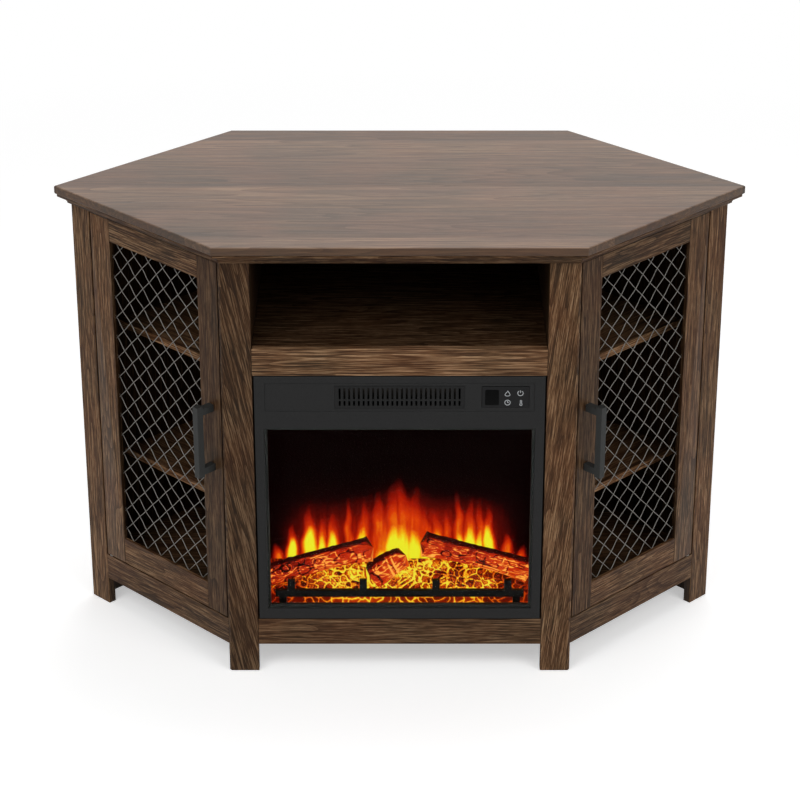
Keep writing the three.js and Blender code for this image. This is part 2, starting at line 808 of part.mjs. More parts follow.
// Bezel: bevelled plate with a glazed window, a sunk sub-panel, and openings for outlet and controls
function makeBezel() {
  const shape = shapeOf([
    [-insertHalf + bezelChamfer, insertLow + bezelChamfer],
    [insertHalf - bezelChamfer, insertLow + bezelChamfer],
    [insertHalf - bezelChamfer, insertHigh - bezelChamfer],
    [-insertHalf + bezelChamfer, insertHigh - bezelChamfer],
  ]);
  const plate = new THREE.ExtrudeGeometry(shape, {
    depth: bezelThickness - 2 * bezelChamfer,
    bevelThickness: bezelChamfer,
    bevelSize: bezelChamfer,
    bevelSegments: 1,
  });
  plate.rotateX(Math.PI / 2).translate(0, bezelBack - bezelChamfer, 0);
  const front = bodyFront - cutOverrun;
  const pocketBack = bodyFront + glassRecess + glassThickness + fitGap;
  const through = bezelBack + cutOverrun;
  const halfSub = insertHalf - subPanelSideBorder;
  const subPanelLow = subPanelHigh - subPanelHeight;
  return cutFrom(plate, [
    boxBetween(-windowHalf, windowHalf, front, pocketBack, windowLow, windowHigh),
    boxBetween(
      -windowHalf + windowLip, windowHalf - windowLip, front, through,
      windowLow + windowLip, windowHigh - windowLip,
    ),
    boxBetween(-halfSub, halfSub, front, bodyFront + subPanelRecess, subPanelLow, subPanelHigh),
    boxBetween(
      -grilleHalf - fitGap, grilleHalf + fitGap, front, bodyFront + subPanelRecess + grilleThickness + fitGap,
      grilleLow - fitGap, grilleHigh + fitGap,
    ),
    boxBetween(
      -grilleHalf + grilleFlange, grilleHalf - grilleFlange, front, through,
      grilleLow + grilleFlange, grilleHigh - grilleFlange,
    ),
    boxBetween(
      controlLeft - fitGap, controlRight + fitGap,
      front, bodyFront + subPanelRecess + controlThickness - controlRaise + fitGap,
      controlLow - fitGap, controlHigh + fitGap,
    ),
  ]);
}

// Outlet grille: plate with a tall and a short row of slots
function makeGrille() {
  const front = bodyFront + subPanelRecess;
  const back = front + grilleThickness;
  const plate = boxBetween(-grilleHalf, grilleHalf, front, back, grilleLow, grilleHigh);
  const upperHigh = grilleHigh - grilleFlange;
  const upperLow = upperHigh - grilleUpperSlotLength;
  const lowerHigh = upperLow - grilleSlotBridge;
  const rows = [[upperLow, upperHigh], [lowerHigh - grilleLowerSlotLength, lowerHigh]];
  const cutters = [];
  for (const [z0, z1] of rows) {
    for (let i = 0; i < grilleSlotCount; i += 1) {
      const x = (i - (grilleSlotCount - 1) / 2) * grilleSlotPitch;
      cutters.push(slot(x, z0, z1, front - cutOverrun, back + cutOverrun, grilleSlotWidth));
    }
  }
  return cutFrom(plate, cutters);
}

// Housing: sheet box open at the front, with the heater compartment's floor and a slotted back
function makeHousing() {
  const outer = boxBetween(-housingHalf, housingHalf, housingFront, housingBack, housingLow, housingHigh);
  const half = housingHalf - housingWall;
  const front = housingFront - cutOverrun;
  const back = housingBack - housingWall;
  const cutters = [
    boxBetween(-half, half, front, back, chamberFloor, heaterFloorHeight),
    boxBetween(-half, half, front, back, heaterFloorHeight + housingWall, housingHigh - housingWall),
  ];
  const slotLow = heaterFloorHeight + (housingHigh - heaterFloorHeight) / 3;
  const slotHigh = housingHigh - (housingHigh - heaterFloorHeight) / 3;
  const backSlotCount = Math.floor(grilleSlotCount / 2);
  for (let i = 0; i < backSlotCount; i += 1) {
    const x = (i - (backSlotCount - 1) / 2) * 2 * grilleSlotPitch;
    cutters.push(slot(x, slotLow, slotHigh, back - cutOverrun, housingBack + cutOverrun, grilleSlotWidth));
  }
  const holeY = bodyFront + rotorRecess;
  cutters.push(rodAlongX(
    rotorRodDiameter + 2 * fitGap, half - cutOverrun, housingHalf + cutOverrun,
    holeY, rotorHeight, pinSegments,
  ));
  return cutFrom(outer, cutters);
}

// One log: a lathe body with a wavy bark radius, drawn along its own axis
function logGeometry(length, radius, phase, clearance) {
  const profile = [new THREE.Vector2(0, -clearance)];
  for (let i = 0; i <= logRings; i += 1) {
    const share = i / logRings;
    const endShare = Math.min(1, logEndShare + logEndSlopeShare * Math.min(share, 1 - share));
    const waveShare = 1 + barkWaveShare * Math.sin(2 * Math.PI * (barkWaveCount * share + phase));
    const along = i === 0 ? -clearance : share * length + (i === logRings ? clearance : 0);
    profile.push(new THREE.Vector2(radius * endShare * waveShare + clearance, along));
  }
  profile.push(new THREE.Vector2(0, length + clearance));
  return new THREE.LatheGeometry(profile, logSides);
}

// Lays a log from one end point towards another
function layLog(geometry, from, to) {
  const way = new THREE.Vector3().subVectors(to, from).normalize();
  const turn = new THREE.Quaternion().setFromUnitVectors(new THREE.Vector3(0, 1, 0), way);
  return geometry.applyQuaternion(turn).translate(from.x, from.y, from.z);
}

// Place over the bed as shares of its half width, its depth and its height at the back
function overBed([xShare, depthShare, riseShare]) {
  const recess = bedFrontRecess + depthShare * (bedBackRecess - bedFrontRecess);
  return new THREE.Vector3(xShare * bedHalf, bodyFront + recess, chamberFloor + riseShare * bedBackHeight);
}

// Logs: two leaning logs and a cross log that their inner ends rest near
const logShares = {
  log_left: { from: [-0.983, 0.414, 0.846], to: [-0.226, 0.483, 1.485], phase: 0.1 },
  log_centre: { from: [0, 0.069, 1.054], to: [0, 0.862, 1.235], phase: 0.45 },
  log_right: { from: [0.983, 0.448, 0.999], to: [0.174, 0.517, 1.61], phase: 0.7 },
};

// The log's solid in its place, wider all round by a clearance where it is a cutter
function layLogOf(name, clearance) {
  const { from, to, phase } = logShares[name];
  const start = overBed(from);
  const end = overBed(to);
  const radius = name === 'log_centre' ? crossLogRadius : logRadius;
  return layLog(logGeometry(start.distanceTo(end), radius, phase, clearance), start, end);
}

// Ember bed: a sloping bed with troughs where the logs lie
function makeEmberBed() {
  const low = chamberFloor + fitGap;
  const front = bodyFront + bedFrontRecess;
  const back = bodyFront + bedBackRecess;
  const section = shapeOf([
    [front, low], [back, low], [back, low + bedBackHeight],
    [front + (back - front) / 3, low + bedFrontHeight + (bedBackHeight - bedFrontHeight) / 2],
    [front, low + bedFrontHeight],
  ]);
  const bed = new THREE.ExtrudeGeometry(section, { depth: 2 * bedHalf, bevelEnabled: false });
  const matrix = new THREE.Matrix4().set(
    0, 0, 1, -bedHalf,
    1, 0, 0, 0,
    0, 1, 0, 0,
    0, 0, 0, 1,
  );
  bed.applyMatrix4(matrix);
  return cutFrom(bed, Object.keys(logShares).map((name) => layLogOf(name, fitGap)));
}

// Grate: a bar on two feet with four upright fingers
function makeGrate() {
  const half = bedHalf - grateEndGap;
  const grateLow = chamberFloor + grateRise;
  const grateHigh = grateLow + grateBarHeight;
  const front = bodyFront + grateRecess;
  const back = front + grateDepth;
  const pieces = [boxBetween(-half, half, front, back, grateLow, grateHigh)];
  for (const share of grateFingerShares) {
    const x = share * half;
    pieces.push(slot(x, grateHigh - cutOverrun, grateHigh + gratePostHeight, front, back, gratePostWidth));
  }
  for (const way of [-1, 1]) {
    const x = way * (half - gratePostWidth);
    pieces.push(slot(x, chamberFloor + fitGap, grateLow + cutOverrun, front, back, gratePostWidth));
  }
  return joined(pieces);
}

// Flame rotor: a rod with pairs of reflector vanes at changing angles
function makeRotor() {
  const y = bodyFront + rotorRecess;
  const start = rotorStart;
  const end = housingHalf - fitGap;
  const pieces = [rodAlongX(rotorRodDiameter, start, end, y, rotorHeight, pinSegments)];
  const pitch = (end - start) / (rotorVaneCount + 1);
  for (let i = 1; i <= rotorVaneCount; i += 1) {
    const vane = new THREE.BoxGeometry(pitch * rotorVaneShare, 2 * rotorVaneWidth, rotorVaneThickness);
    vane.rotateX(i * rotorVaneTurn).translate(start + i * pitch, y, rotorHeight);
    pieces.push(vane);
  }
  return joined(pieces);
}

// Cross-flow blower wheel: end discs, a middle disc and a ring of blades
function makeBlowerWheel() {
  const y = bodyFront + blowerRecess;
  const start = -blowerHalf;
  const end = blowerHalf;
  const discs = [start, -blowerDiscThickness / 2, end - blowerDiscThickness];
  const pieces = discs.map((x) =>
    rodAlongX(blowerDiameter, x, x + blowerDiscThickness, y, blowerHeight, pinSegments));
  for (let i = 0; i < blowerBlades; i += 1) {
    const span = end - start - blowerDiscThickness;
    const ring = blowerDiameter / 2 - blowerBladeDepth / 2 - blowerBladeThickness;
    const blade = new THREE.BoxGeometry(span, blowerBladeDepth, blowerBladeThickness);
    blade.rotateX(blowerBladeTurn).translate(0, ring, 0);
    blade.rotateX((i * 2 * Math.PI) / blowerBlades).translate(0, y, blowerHeight);
    pieces.push(blade);
  }
  const shaftEnd = blowerMotorLength / 2;
  pieces.push(rodAlongX(
    blowerShaftDiameter, start - 2 * blowerBracketThickness, end + shaftEnd, y, blowerHeight, pinSegments,
  ));
  return joined(pieces);
}

// Motors and bearing bracket, each bored for its shaft
function makeMotors() {
  const half = housingHalf - housingWall - fitGap;
  const rotorY = bodyFront + rotorRecess;
  const rotorMotor = cutFrom(
    rodAlongX(rotorMotorDiameter, -half, -half + rotorMotorLength, rotorY, rotorHeight, pinSegments),
    [rodAlongX(
      rotorRodDiameter + 2 * fitGap, rotorStart - fitGap, rotorStart + rotorMotorLength,
      rotorY, rotorHeight, pinSegments,
    )],
  );
  place('flame_rotor_motor', rotorMotor, steel);

  const y = bodyFront + blowerRecess;
  const face = blowerHalf + blowerBracketThickness;
  const floor = heaterFloorHeight + housingWall + fitGap;
  const can = rodAlongX(blowerMotorDiameter, face, face + blowerMotorLength, y, blowerHeight, pinSegments);
  const foot = boxBetween(
    face, face + blowerMotorLength,
    y - blowerMotorDiameter / 4, y + blowerMotorDiameter / 4, floor, blowerHeight,
  );
  const bore = rodAlongX(
    blowerShaftDiameter + 2 * fitGap,
    face - cutOverrun, blowerHalf + blowerMotorLength / 2 + fitGap,
    y, blowerHeight, pinSegments,
  );
  place('blower_motor', cutFrom(joined([can, foot]), [bore]), steel);

  const bracketX = -blowerHalf - blowerBracketThickness;
  const bracketHalf = blowerDiameter / 3;
  const bracket = boxBetween(
    bracketX - blowerBracketThickness, bracketX, y - bracketHalf, y + bracketHalf,
    floor, blowerHeight + bracketHalf,
  );
  const bearing = rodAlongX(
    blowerShaftDiameter + 2 * fitGap,
    bracketX - 2 * blowerBracketThickness, bracketX + blowerBracketThickness,
    y, blowerHeight, pinSegments,
  );
  place('blower_bearing_bracket', cutFrom(bracket, [bearing]), steel);
}

// Heating element: a finned block behind the outlet grille, on two feet
function makeHeater() {
  const front = bodyFront + heaterRecess;
  const back = front + heaterDepth;
  const floor = heaterFloorHeight + housingWall + fitGap;
  const low = blowerHeight - heaterHeight / 2;
  const half = heaterHalf;
  const quarter = heaterDepth / 4;
  const inFront = front + quarter;
  const inBack = back - quarter;
  const pieces = [boxBetween(-half, half, inFront, inBack, low + quarter, low + heaterHeight - quarter)];
  const fins = Math.floor((2 * half) / heaterFinPitch);
  for (let i = 0; i <= fins; i += 1) {
    const x = -half + (i * 2 * half) / fins;
    pieces.push(slot(x, low, low + heaterHeight, front, back, heaterFinThickness));
  }
  for (const way of [-1, 1]) {
    const x = way * (half - heaterDepth);
    pieces.push(slot(x, floor, low + heaterHeight / 2, inFront, inBack, heaterDepth));
  }
  return joined(pieces);
}

function makeInsert() {
  place('insert_bezel', makeBezel(), blackMetal);
  const halfGlass = windowHalf - fitGap;
  place('window_glass', boxBetween(
    -halfGlass, halfGlass, bodyFront + glassRecess, bodyFront + glassRecess + glassThickness,
    windowLow + fitGap, windowHigh - fitGap,
  ), glass);
  place('outlet_grille', makeGrille(), blackMetal);
  const controlFront = bodyFront + subPanelRecess - controlRaise;
  place('control_panel', boxBetween(
    controlLeft, controlRight, controlFront, controlFront + controlThickness,
    controlLow, controlHigh,
  ), panelBlack);
  place('insert_housing', makeHousing(), blackMetal);
  const screenHalf = housingHalf - housingWall - fitGap;
  place('flame_screen', boxBetween(
    -screenHalf, screenHalf, screenFront, screenFront + screenThickness,
    chamberFloor + fitGap, heaterFloorHeight - fitGap,
  ), smoked);
  place('ember_bed', makeEmberBed(), ember);
  for (const name of Object.keys(logShares)) place(name, layLogOf(name, 0), bark);
  place('log_grate', makeGrate(), blackMetal);
  place('flame_rotor', makeRotor(), steel);
  place('blower_wheel', makeBlowerWheel(), steel);
  place('heating_element', makeHeater(), steel);
  makeMotors();
}

makeTop();
makeMoulding();
makeLegs();
makePosts();
makeSidePanels();
makeInnerBoards();
makeBottomRails();
makeBackPanel();
makeDoors();
makeInsert();

export default stand;
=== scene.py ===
import math

import bpy
import numpy as np
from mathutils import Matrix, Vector


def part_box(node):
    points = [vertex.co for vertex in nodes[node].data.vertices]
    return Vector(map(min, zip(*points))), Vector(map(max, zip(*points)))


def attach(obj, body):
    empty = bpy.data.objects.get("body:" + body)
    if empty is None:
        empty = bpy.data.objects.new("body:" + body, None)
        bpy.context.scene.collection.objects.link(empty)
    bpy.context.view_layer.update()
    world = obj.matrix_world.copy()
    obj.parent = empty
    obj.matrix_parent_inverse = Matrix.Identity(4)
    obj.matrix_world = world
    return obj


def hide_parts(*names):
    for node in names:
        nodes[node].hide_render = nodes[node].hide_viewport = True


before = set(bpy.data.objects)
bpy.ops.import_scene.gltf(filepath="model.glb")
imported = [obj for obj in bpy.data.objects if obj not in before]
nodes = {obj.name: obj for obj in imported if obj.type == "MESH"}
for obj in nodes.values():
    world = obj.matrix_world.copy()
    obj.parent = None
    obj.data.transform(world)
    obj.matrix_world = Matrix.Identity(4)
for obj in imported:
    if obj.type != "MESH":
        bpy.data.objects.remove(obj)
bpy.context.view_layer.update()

mm = 0.001
scene = bpy.context.scene
print("frame loaded")


def linear(hexColour):
    # an sRGB hex colour as the linear colour that a socket takes
    parts = np.array([int(hexColour[i:i + 2], 16) for i in (1, 3, 5)]) / 255
    low, high = parts / 12.92, ((parts + 0.055) / 1.055) ** 2.4
    return (*np.where(parts <= 0.04045, low, high).tolist(), 1.0)


def addNode(tree, kind, links=None, stops=None, **settings):
    # one node, its settings, the stops of a ramp, and a value or a socket for each named input
    node = tree.nodes.new("ShaderNode" + kind)
    for name, value in settings.items():
        setattr(node, name, value)
    if stops:
        while len(node.color_ramp.elements) < len(stops):
            node.color_ramp.elements.new(1)
        for element, (place, colour) in zip(node.color_ramp.elements, stops):
            element.position = place
            element.color = linear(colour)
    for name, value in (links or {}).items():
        if isinstance(value, bpy.types.NodeSocket):
            tree.links.new(value, node.inputs[name])
        else:
            node.inputs[name].default_value = value
    return node


def newMaterial(name):
    # an empty material with its output, ready for a surface
    material = bpy.data.materials.new(name)
    material.use_nodes = True
    tree = material.node_tree
    tree.nodes.clear()
    return material, tree, addNode(tree, "OutputMaterial")


# dark oak melamine laminate on particle board: printed flat-sawn figure, embossed pores, satin face
laminate = {
    "figureWidth": 70, "figureStretch": 9, "ringCount": 17,
    "streakWidth": 8, "streakStretch": 30,
    "lineWidth": 1.5, "lineStretch": 32,
    "poreWidth": 1.0, "poreStretch": 13,
    "tintWidth": 140, "poreDepth": 0.12,
    "darkRing": "#26190f", "midTone": "#503824", "warmTone": "#705238", "paleRing": "#a88766",
    "redTint": "#74482d", "greyTint": "#574431", "pore": "#1b120b",
    # each weight is the share of its layer in the tone; lines and pores are drawn coarser than real ones,
    # so that they show
    "front": {"tone": 1.0, "edgeTone": 1.0, "lines": 1.45, "pores": 0.8, "streaks": 0.5, "rings": 0.26,
              "plank": 0, "lean": 0.0, "length": 1.0, "saturation": 1.0,
              "roughness": 0.48, "specular": 0.1, "faceWay": (0, 0, 1)},
    # the top's tone of 1.36 and its lower saturation paint a sheen into its colour, the light it reflects at
    # a low angle, on top of its own specular
    "top": {"tone": 1.36, "edgeTone": 0.48, "lines": 0.34, "pores": 0.25, "streaks": 0.5, "rings": 0.13,
            "plank": 240, "lean": 0.0, "length": 1.6, "saturation": 0.82,
            "roughness": 0.36, "specular": 0.38, "faceWay": (0, 0, 1)},
}


def rusticOakLaminate(name, turn, shift, look):
    # turn lays the grain along the board, shift picks its part of the print, lean slants the grain
    material, tree, output = newMaterial(name)
    place = addNode(tree, "TexCoord").outputs["Object"]
    turned = (turn[0], turn[1] + look["lean"], turn[2])
    links = {"Vector": place, "Rotation": turned, "Location": shift}
    grain = addNode(tree, "Mapping", links).outputs["Vector"]
    plankTone = 0.0
    if look["plank"]:
        # a wide board is printed as planks: each has its own part of the figure and pales to its far edge
        across = addNode(tree, "SeparateXYZ", {0: place}).outputs["Y"]
        count = addNode(tree, "Math", {0: across, 1: 1 / (look["plank"] * mm), 2: 0.02},
                        operation="MULTIPLY_ADD").outputs[0]
        number = addNode(tree, "Math", {0: count}, operation="FLOOR").outputs[0]
        random = addNode(tree, "TexWhiteNoise", {"W": number}, noise_dimensions="1D").outputs["Value"]
        offset = addNode(tree, "CombineXYZ", {"X": random, "Z": random}).outputs["Vector"]
        grain = addNode(tree, "VectorMath", {0: grain, 1: offset}, operation="ADD").outputs["Vector"]
        part = addNode(tree, "Math", {0: count}, operation="FRACT").outputs[0]
        plankTone = addNode(tree, "MapRange", {"Value": part, "To Min": -0.09, "To Max": 0.07}).outputs[0]

    def noise(kind, detail, distortion=0.0):
        stretch = laminate[kind + "Stretch"] * look["length"]
        vector = addNode(tree, "Mapping", {"Vector": grain, "Scale": (1 / stretch, 1, 1)})
        links = {"Vector": vector.outputs["Vector"], "Scale": 1 / (laminate[kind + "Width"] * mm),
                 "Detail": detail, "Distortion": distortion}
        return addNode(tree, "TexNoise", links).outputs["Fac"]

    def sums(operation, first, second, third=0.0):
        return addNode(tree, "Math", {0: first, 1: second, 2: third}, operation=operation).outputs[0]

    # growth rings are the contour lines of a broad noise: each darkens slowly and ends sharply
    figure = noise("figure", 2.0, 0.3)
    ring = sums("FRACT", sums("MULTIPLY", figure, laminate["ringCount"]), 0.0)
    streaks = noise("streak", 3)
    lines = noise("line", 1.5)
    pores = noise("pore", 1)
    blend = sums("MULTIPLY_ADD", sums("SUBTRACT", lines, 0.5), look["lines"], 0.47)
    blend = sums("ADD", blend, plankTone)
    blend = sums("MULTIPLY_ADD", sums("SUBTRACT", pores, 0.5), look["pores"], blend)
    blend = sums("MULTIPLY_ADD", sums("SUBTRACT", streaks, 0.5), look["streaks"], blend)
    blend = sums("MULTIPLY_ADD", sums("SUBTRACT", 0.33, sums("POWER", ring, 2.0)), look["rings"], blend)
    stops = [(0.2, laminate["darkRing"]), (0.42, laminate["midTone"]),
             (0.58, laminate["warmTone"]), (0.84, laminate["paleRing"])]
    colour = addNode(tree, "ValToRGB", {"Fac": blend}, stops=stops).outputs["Color"]
    links = {"Vector": grain, "Scale": 1 / (laminate["tintWidth"] * mm), "Detail": 2}
    patches = addNode(tree, "TexNoise", links).outputs["Fac"]
    tintStops = [(0.38, laminate["greyTint"]), (0.62, laminate["redTint"])]
    tint = addNode(tree, "ValToRGB", {"Fac": patches}, stops=tintStops).outputs["Color"]
    colour = addNode(tree, "MixRGB", {"Fac": 0.2, "Color1": colour, "Color2": tint},
                     blend_type="MIX").outputs["Color"]
    # the pores lie in the paler first half of each ring
    poreMask = addNode(tree, "MapRange", {"Value": pores, "From Min": 0.56, "From Max": 0.66}).outputs[0]
    poreMask = sums("MULTIPLY", poreMask, sums("SUBTRACT", 1.0, sums("MULTIPLY", ring, 0.7)))
    colour = addNode(tree, "MixRGB", {"Fac": sums("MULTIPLY", poreMask, 0.5 * look["pores"]),
                                      "Color1": colour, "Color2": linear(laminate["pore"])}).outputs["Color"]

    def byFace(edge, face):
        return addNode(tree, "MapRange", {"Value": onFace, "To Min": edge, "To Max": face}).outputs[0]

    # a board's edges or its inner side get their own tone and saturation: this paints shade on the side
    # panels' inner faces and a highlight on the shelves' edges, and keeps the top's painted sheen on its face
    # only
    normal = addNode(tree, "TexCoord").outputs["Normal"]
    facing = addNode(tree, "VectorMath", {0: normal, 1: look["faceWay"]},
                     operation="DOT_PRODUCT").outputs["Value"]
    onFace = addNode(tree, "MapRange", {"Value": facing, "From Min": 0.3, "From Max": 0.65}).outputs[0]
    plain = laminate["front"]
    colour = addNode(tree, "HueSaturation", {"Value": byFace(look["tone"] * look["edgeTone"], look["tone"]),
                                             "Saturation": byFace(1.0, look["saturation"]),
                                             "Color": colour}).outputs["Color"]
    height = sums("SUBTRACT", lines, poreMask)
    bump = addNode(tree, "Bump", {"Height": height, "Strength": 0.6,
                                  "Distance": laminate["poreDepth"] * mm}).outputs["Normal"]
    haze = byFace(plain["roughness"], look["roughness"])
    haze = sums("MULTIPLY_ADD", sums("SUBTRACT", streaks, 0.5), 0.3, haze)
    surface = addNode(tree, "BsdfPrincipled", {
        "Base Color": colour, "Roughness": haze, "Normal": bump,
        "Specular IOR Level": look["specular"]})
    tree.links.new(surface.outputs[0], output.inputs["Surface"])
    return material


def plainFinish(name, colour, spread, roughness, grit, depth, metallic=0.0, specular=0.5, rear=None):
    # a moulded, coated or sheet finish: two close tones in a fine speckle, and a bump of the same grit in mm;
    # rear is the bare tone of the side that faces back
    material, tree, output = newMaterial(name)
    place = addNode(tree, "TexCoord").outputs["Object"]
    links = {"Vector": place, "Scale": 1 / (grit * mm), "Detail": 3}
    speckle = addNode(tree, "TexNoise", links).outputs["Fac"]
    stops = [(0.35, colour), (0.65, spread)]
    tone = addNode(tree, "ValToRGB", {"Fac": speckle}, stops=stops).outputs["Color"]
    if rear:
        normal = addNode(tree, "SeparateXYZ", {0: addNode(tree, "TexCoord").outputs["Normal"]}).outputs["Y"]
        facesBack = addNode(tree, "Math", {0: normal, 1: 0.5}, operation="GREATER_THAN").outputs[0]
        tone = addNode(tree, "MixRGB", {"Fac": facesBack, "Color1": tone, "Color2": linear(rear)},
                       blend_type="MIX").outputs["Color"]
    links = {"Height": speckle, "Strength": 0.5, "Distance": depth * mm}
    bump = addNode(tree, "Bump", links).outputs["Normal"]
    haze = addNode(tree, "MapRange", {"Value": speckle, "To Min": roughness - 0.05,
                                      "To Max": roughness + 0.05}).outputs[0]
    surface = addNode(tree, "BsdfPrincipled", {"Base Color": tone, "Roughness": haze, "Metallic": metallic,
                                               "Normal": bump, "Specular IOR Level": specular})
    tree.links.new(surface.outputs[0], output.inputs["Surface"])
    return material


def clearGlass():
    # clear float glass coated against reflections: it hardly mirrors, so its IOR is far below plain glass
    material, tree, output = newMaterial("floatGlassClear")
    place = addNode(tree, "TexCoord").outputs["Object"]
    ripple = addNode(tree, "TexNoise", {"Vector": place, "Scale": 1 / (160 * mm), "Detail": 1}).outputs["Fac"]
    links = {"Height": ripple, "Strength": 0.05, "Distance": 0.05 * mm}
    bump = addNode(tree, "Bump", links).outputs["Normal"]
    links = {"Base Color": linear("#f2f6f3"), "Roughness": 0.0, "Transmission Weight": 1.0, "IOR": 1.04,
             "Normal": bump}
    surface = addNode(tree, "BsdfPrincipled", links)
    tree.links.new(surface.outputs[0], output.inputs["Surface"])
    return material


def glowFromHeat(name, stops, strength, base, roughness, specular):
    # a body lit from inside: the heat stored on the piece's points picks the colour that it gives off
    material, tree, output = newMaterial(name)
    heat = addNode(tree, "Attribute", attribute_name="glowShare").outputs["Fac"]
    place = addNode(tree, "TexCoord").outputs["Object"]
    grit = addNode(tree, "TexNoise", {"Vector": place, "Scale": 1 / (3 * mm), "Detail": 4}).outputs["Fac"]
    # the grit shifts the heat a little: heat + 0.22 * (grit - 0.5)
    swing = addNode(tree, "Math", {0: grit, 1: 0.5}, operation="SUBTRACT").outputs[0]
    bent = addNode(tree, "Math", {0: swing, 1: 0.22, 2: heat}, operation="MULTIPLY_ADD").outputs[0]
    glow = addNode(tree, "ValToRGB", {"Fac": bent}, stops=stops).outputs["Color"]
    bump = addNode(tree, "Bump", {"Height": grit, "Strength": 0.5, "Distance": 0.4 * mm}).outputs["Normal"]
    surface = addNode(tree, "BsdfPrincipled", {"Base Color": linear(base), "Roughness": roughness,
                                               "Emission Color": glow, "Emission Strength": strength,
                                               "Normal": bump, "Specular IOR Level": specular})
    tree.links.new(surface.outputs[0], output.inputs["Surface"])
    return material


boards = {
    "vertical": ["front_leg_left", "front_leg_right", "side_post_left", "side_post_right",
                 "side_panel_left", "side_panel_right", "partition_left", "partition_right",
                 "door_handle_stile_left", "door_handle_stile_right",
                 "door_hinge_stile_left", "door_hinge_stile_right"],
    "across": ["top_panel", "top_moulding_front", "niche_rail", "niche_shelf", "bottom_panel",
               "bottom_rail_front"],
    "leftSide": ["top_moulding_left", "bottom_rail_left", "door_bottom_rail_left", "door_top_rail_left",
                 "side_shelf_upper_left", "side_shelf_lower_left"],
    "rightSide": ["top_moulding_right", "bottom_rail_right", "door_bottom_rail_right", "door_top_rail_right",
                  "side_shelf_upper_right", "side_shelf_lower_right"],
}
# turning the coordinates by these angles brings each board's length onto X
grainTurns = {
    "vertical": (0, math.radians(90), 0), "across": (0, 0, 0),
    "leftSide": (0, 0, math.radians(45)), "rightSide": (0, 0, math.radians(-45)),
}
# faceWay is the way out of the face that has the tone; the other sides have it times edgeTone
leftWay, rightWay = (-math.sqrt(0.5), -math.sqrt(0.5), 0), (math.sqrt(0.5), -math.sqrt(0.5), 0)
looks = {
    "top_panel": laminate["top"], "top_moulding": {"tone": 0.78},
    "niche_rail": {"tone": 1.22, "lines": 2.6, "length": 1.8},
    "front_leg_left": {"tone": 0.6, "edgeTone": 0.5, "faceWay": (0, -1, 0), "streaks": 0.8, "rings": 0.3,
                       "lean": 0.2},
    "front_leg_right": {"tone": 1.05, "edgeTone": 0.5, "faceWay": (0, -1, 0), "streaks": 0.7, "rings": 0.26,
                        "lean": -0.12},
    "side_post_left": {"tone": 1.1, "edgeTone": 0.4, "faceWay": leftWay},
    "side_post_right": {"tone": 1.1, "edgeTone": 0.4, "faceWay": rightWay},
    "door_hinge_stile_left": {"tone": 1.15, "edgeTone": 0.35, "faceWay": leftWay},
    "door_hinge_stile_right": {"tone": 1.0, "edgeTone": 0.35, "faceWay": rightWay},
    "door_handle_stile_left": {"tone": 0.56, "edgeTone": 0.4, "faceWay": leftWay},
    "door_handle_stile_right": {"tone": 0.62, "edgeTone": 0.4, "faceWay": rightWay},
    "door_top_rail_left": {"tone": 0.95, "edgeTone": 0.4, "lines": 1.7, "faceWay": leftWay},
    "door_top_rail_right": {"tone": 0.78, "edgeTone": 0.4, "lines": 1.7, "faceWay": rightWay},
    "bottom_rail_left": {"tone": 0.8}, "bottom_rail_right": {"tone": 0.75},
    "bottom_rail_front": {"tone": 0.8, "length": 1.4},
    # side_shelf's edgeTone of 2.2 is a painted highlight along the shelves' edges
    "side_shelf": {"tone": 0.75, "edgeTone": 2.2}, "bottom_panel": {"tone": 0.5},
    # the niche floor's dark tone is painted shade under the top panel
    "niche_shelf": {"tone": 0.36, "specular": 0.01, "roughness": 0.8},
    # the partitions' near-black tone is painted shade inside the cabinet
    "partition": {"tone": 0.22, "specular": 0.04},
    # edgeTone 0.22 darkens the side panels' inner faces: painted shade inside the cabinet
    "side_panel_left": {"edgeTone": 0.22, "faceWay": (-math.sqrt(0.5), math.sqrt(0.5), 0)},
    "side_panel_right": {"edgeTone": 0.22, "faceWay": (math.sqrt(0.5), math.sqrt(0.5), 0)},
}


def dressBoards():
    # every board gets its own part of the printed figure, so that no two match
    picker = np.random.default_rng(11)
    for way, names in boards.items():
        for node in names:
            shift = tuple(picker.uniform(-3, 3, 3).tolist())
            own = next((look for start, look in looks.items() if node.startswith(start)), {})
            look = laminate["front"] | own
            material = rusticOakLaminate("rusticOakLaminate_" + node, grainTurns[way], shift, look)
            nodes[node].data.materials.clear()
            nodes[node].data.materials.append(material)


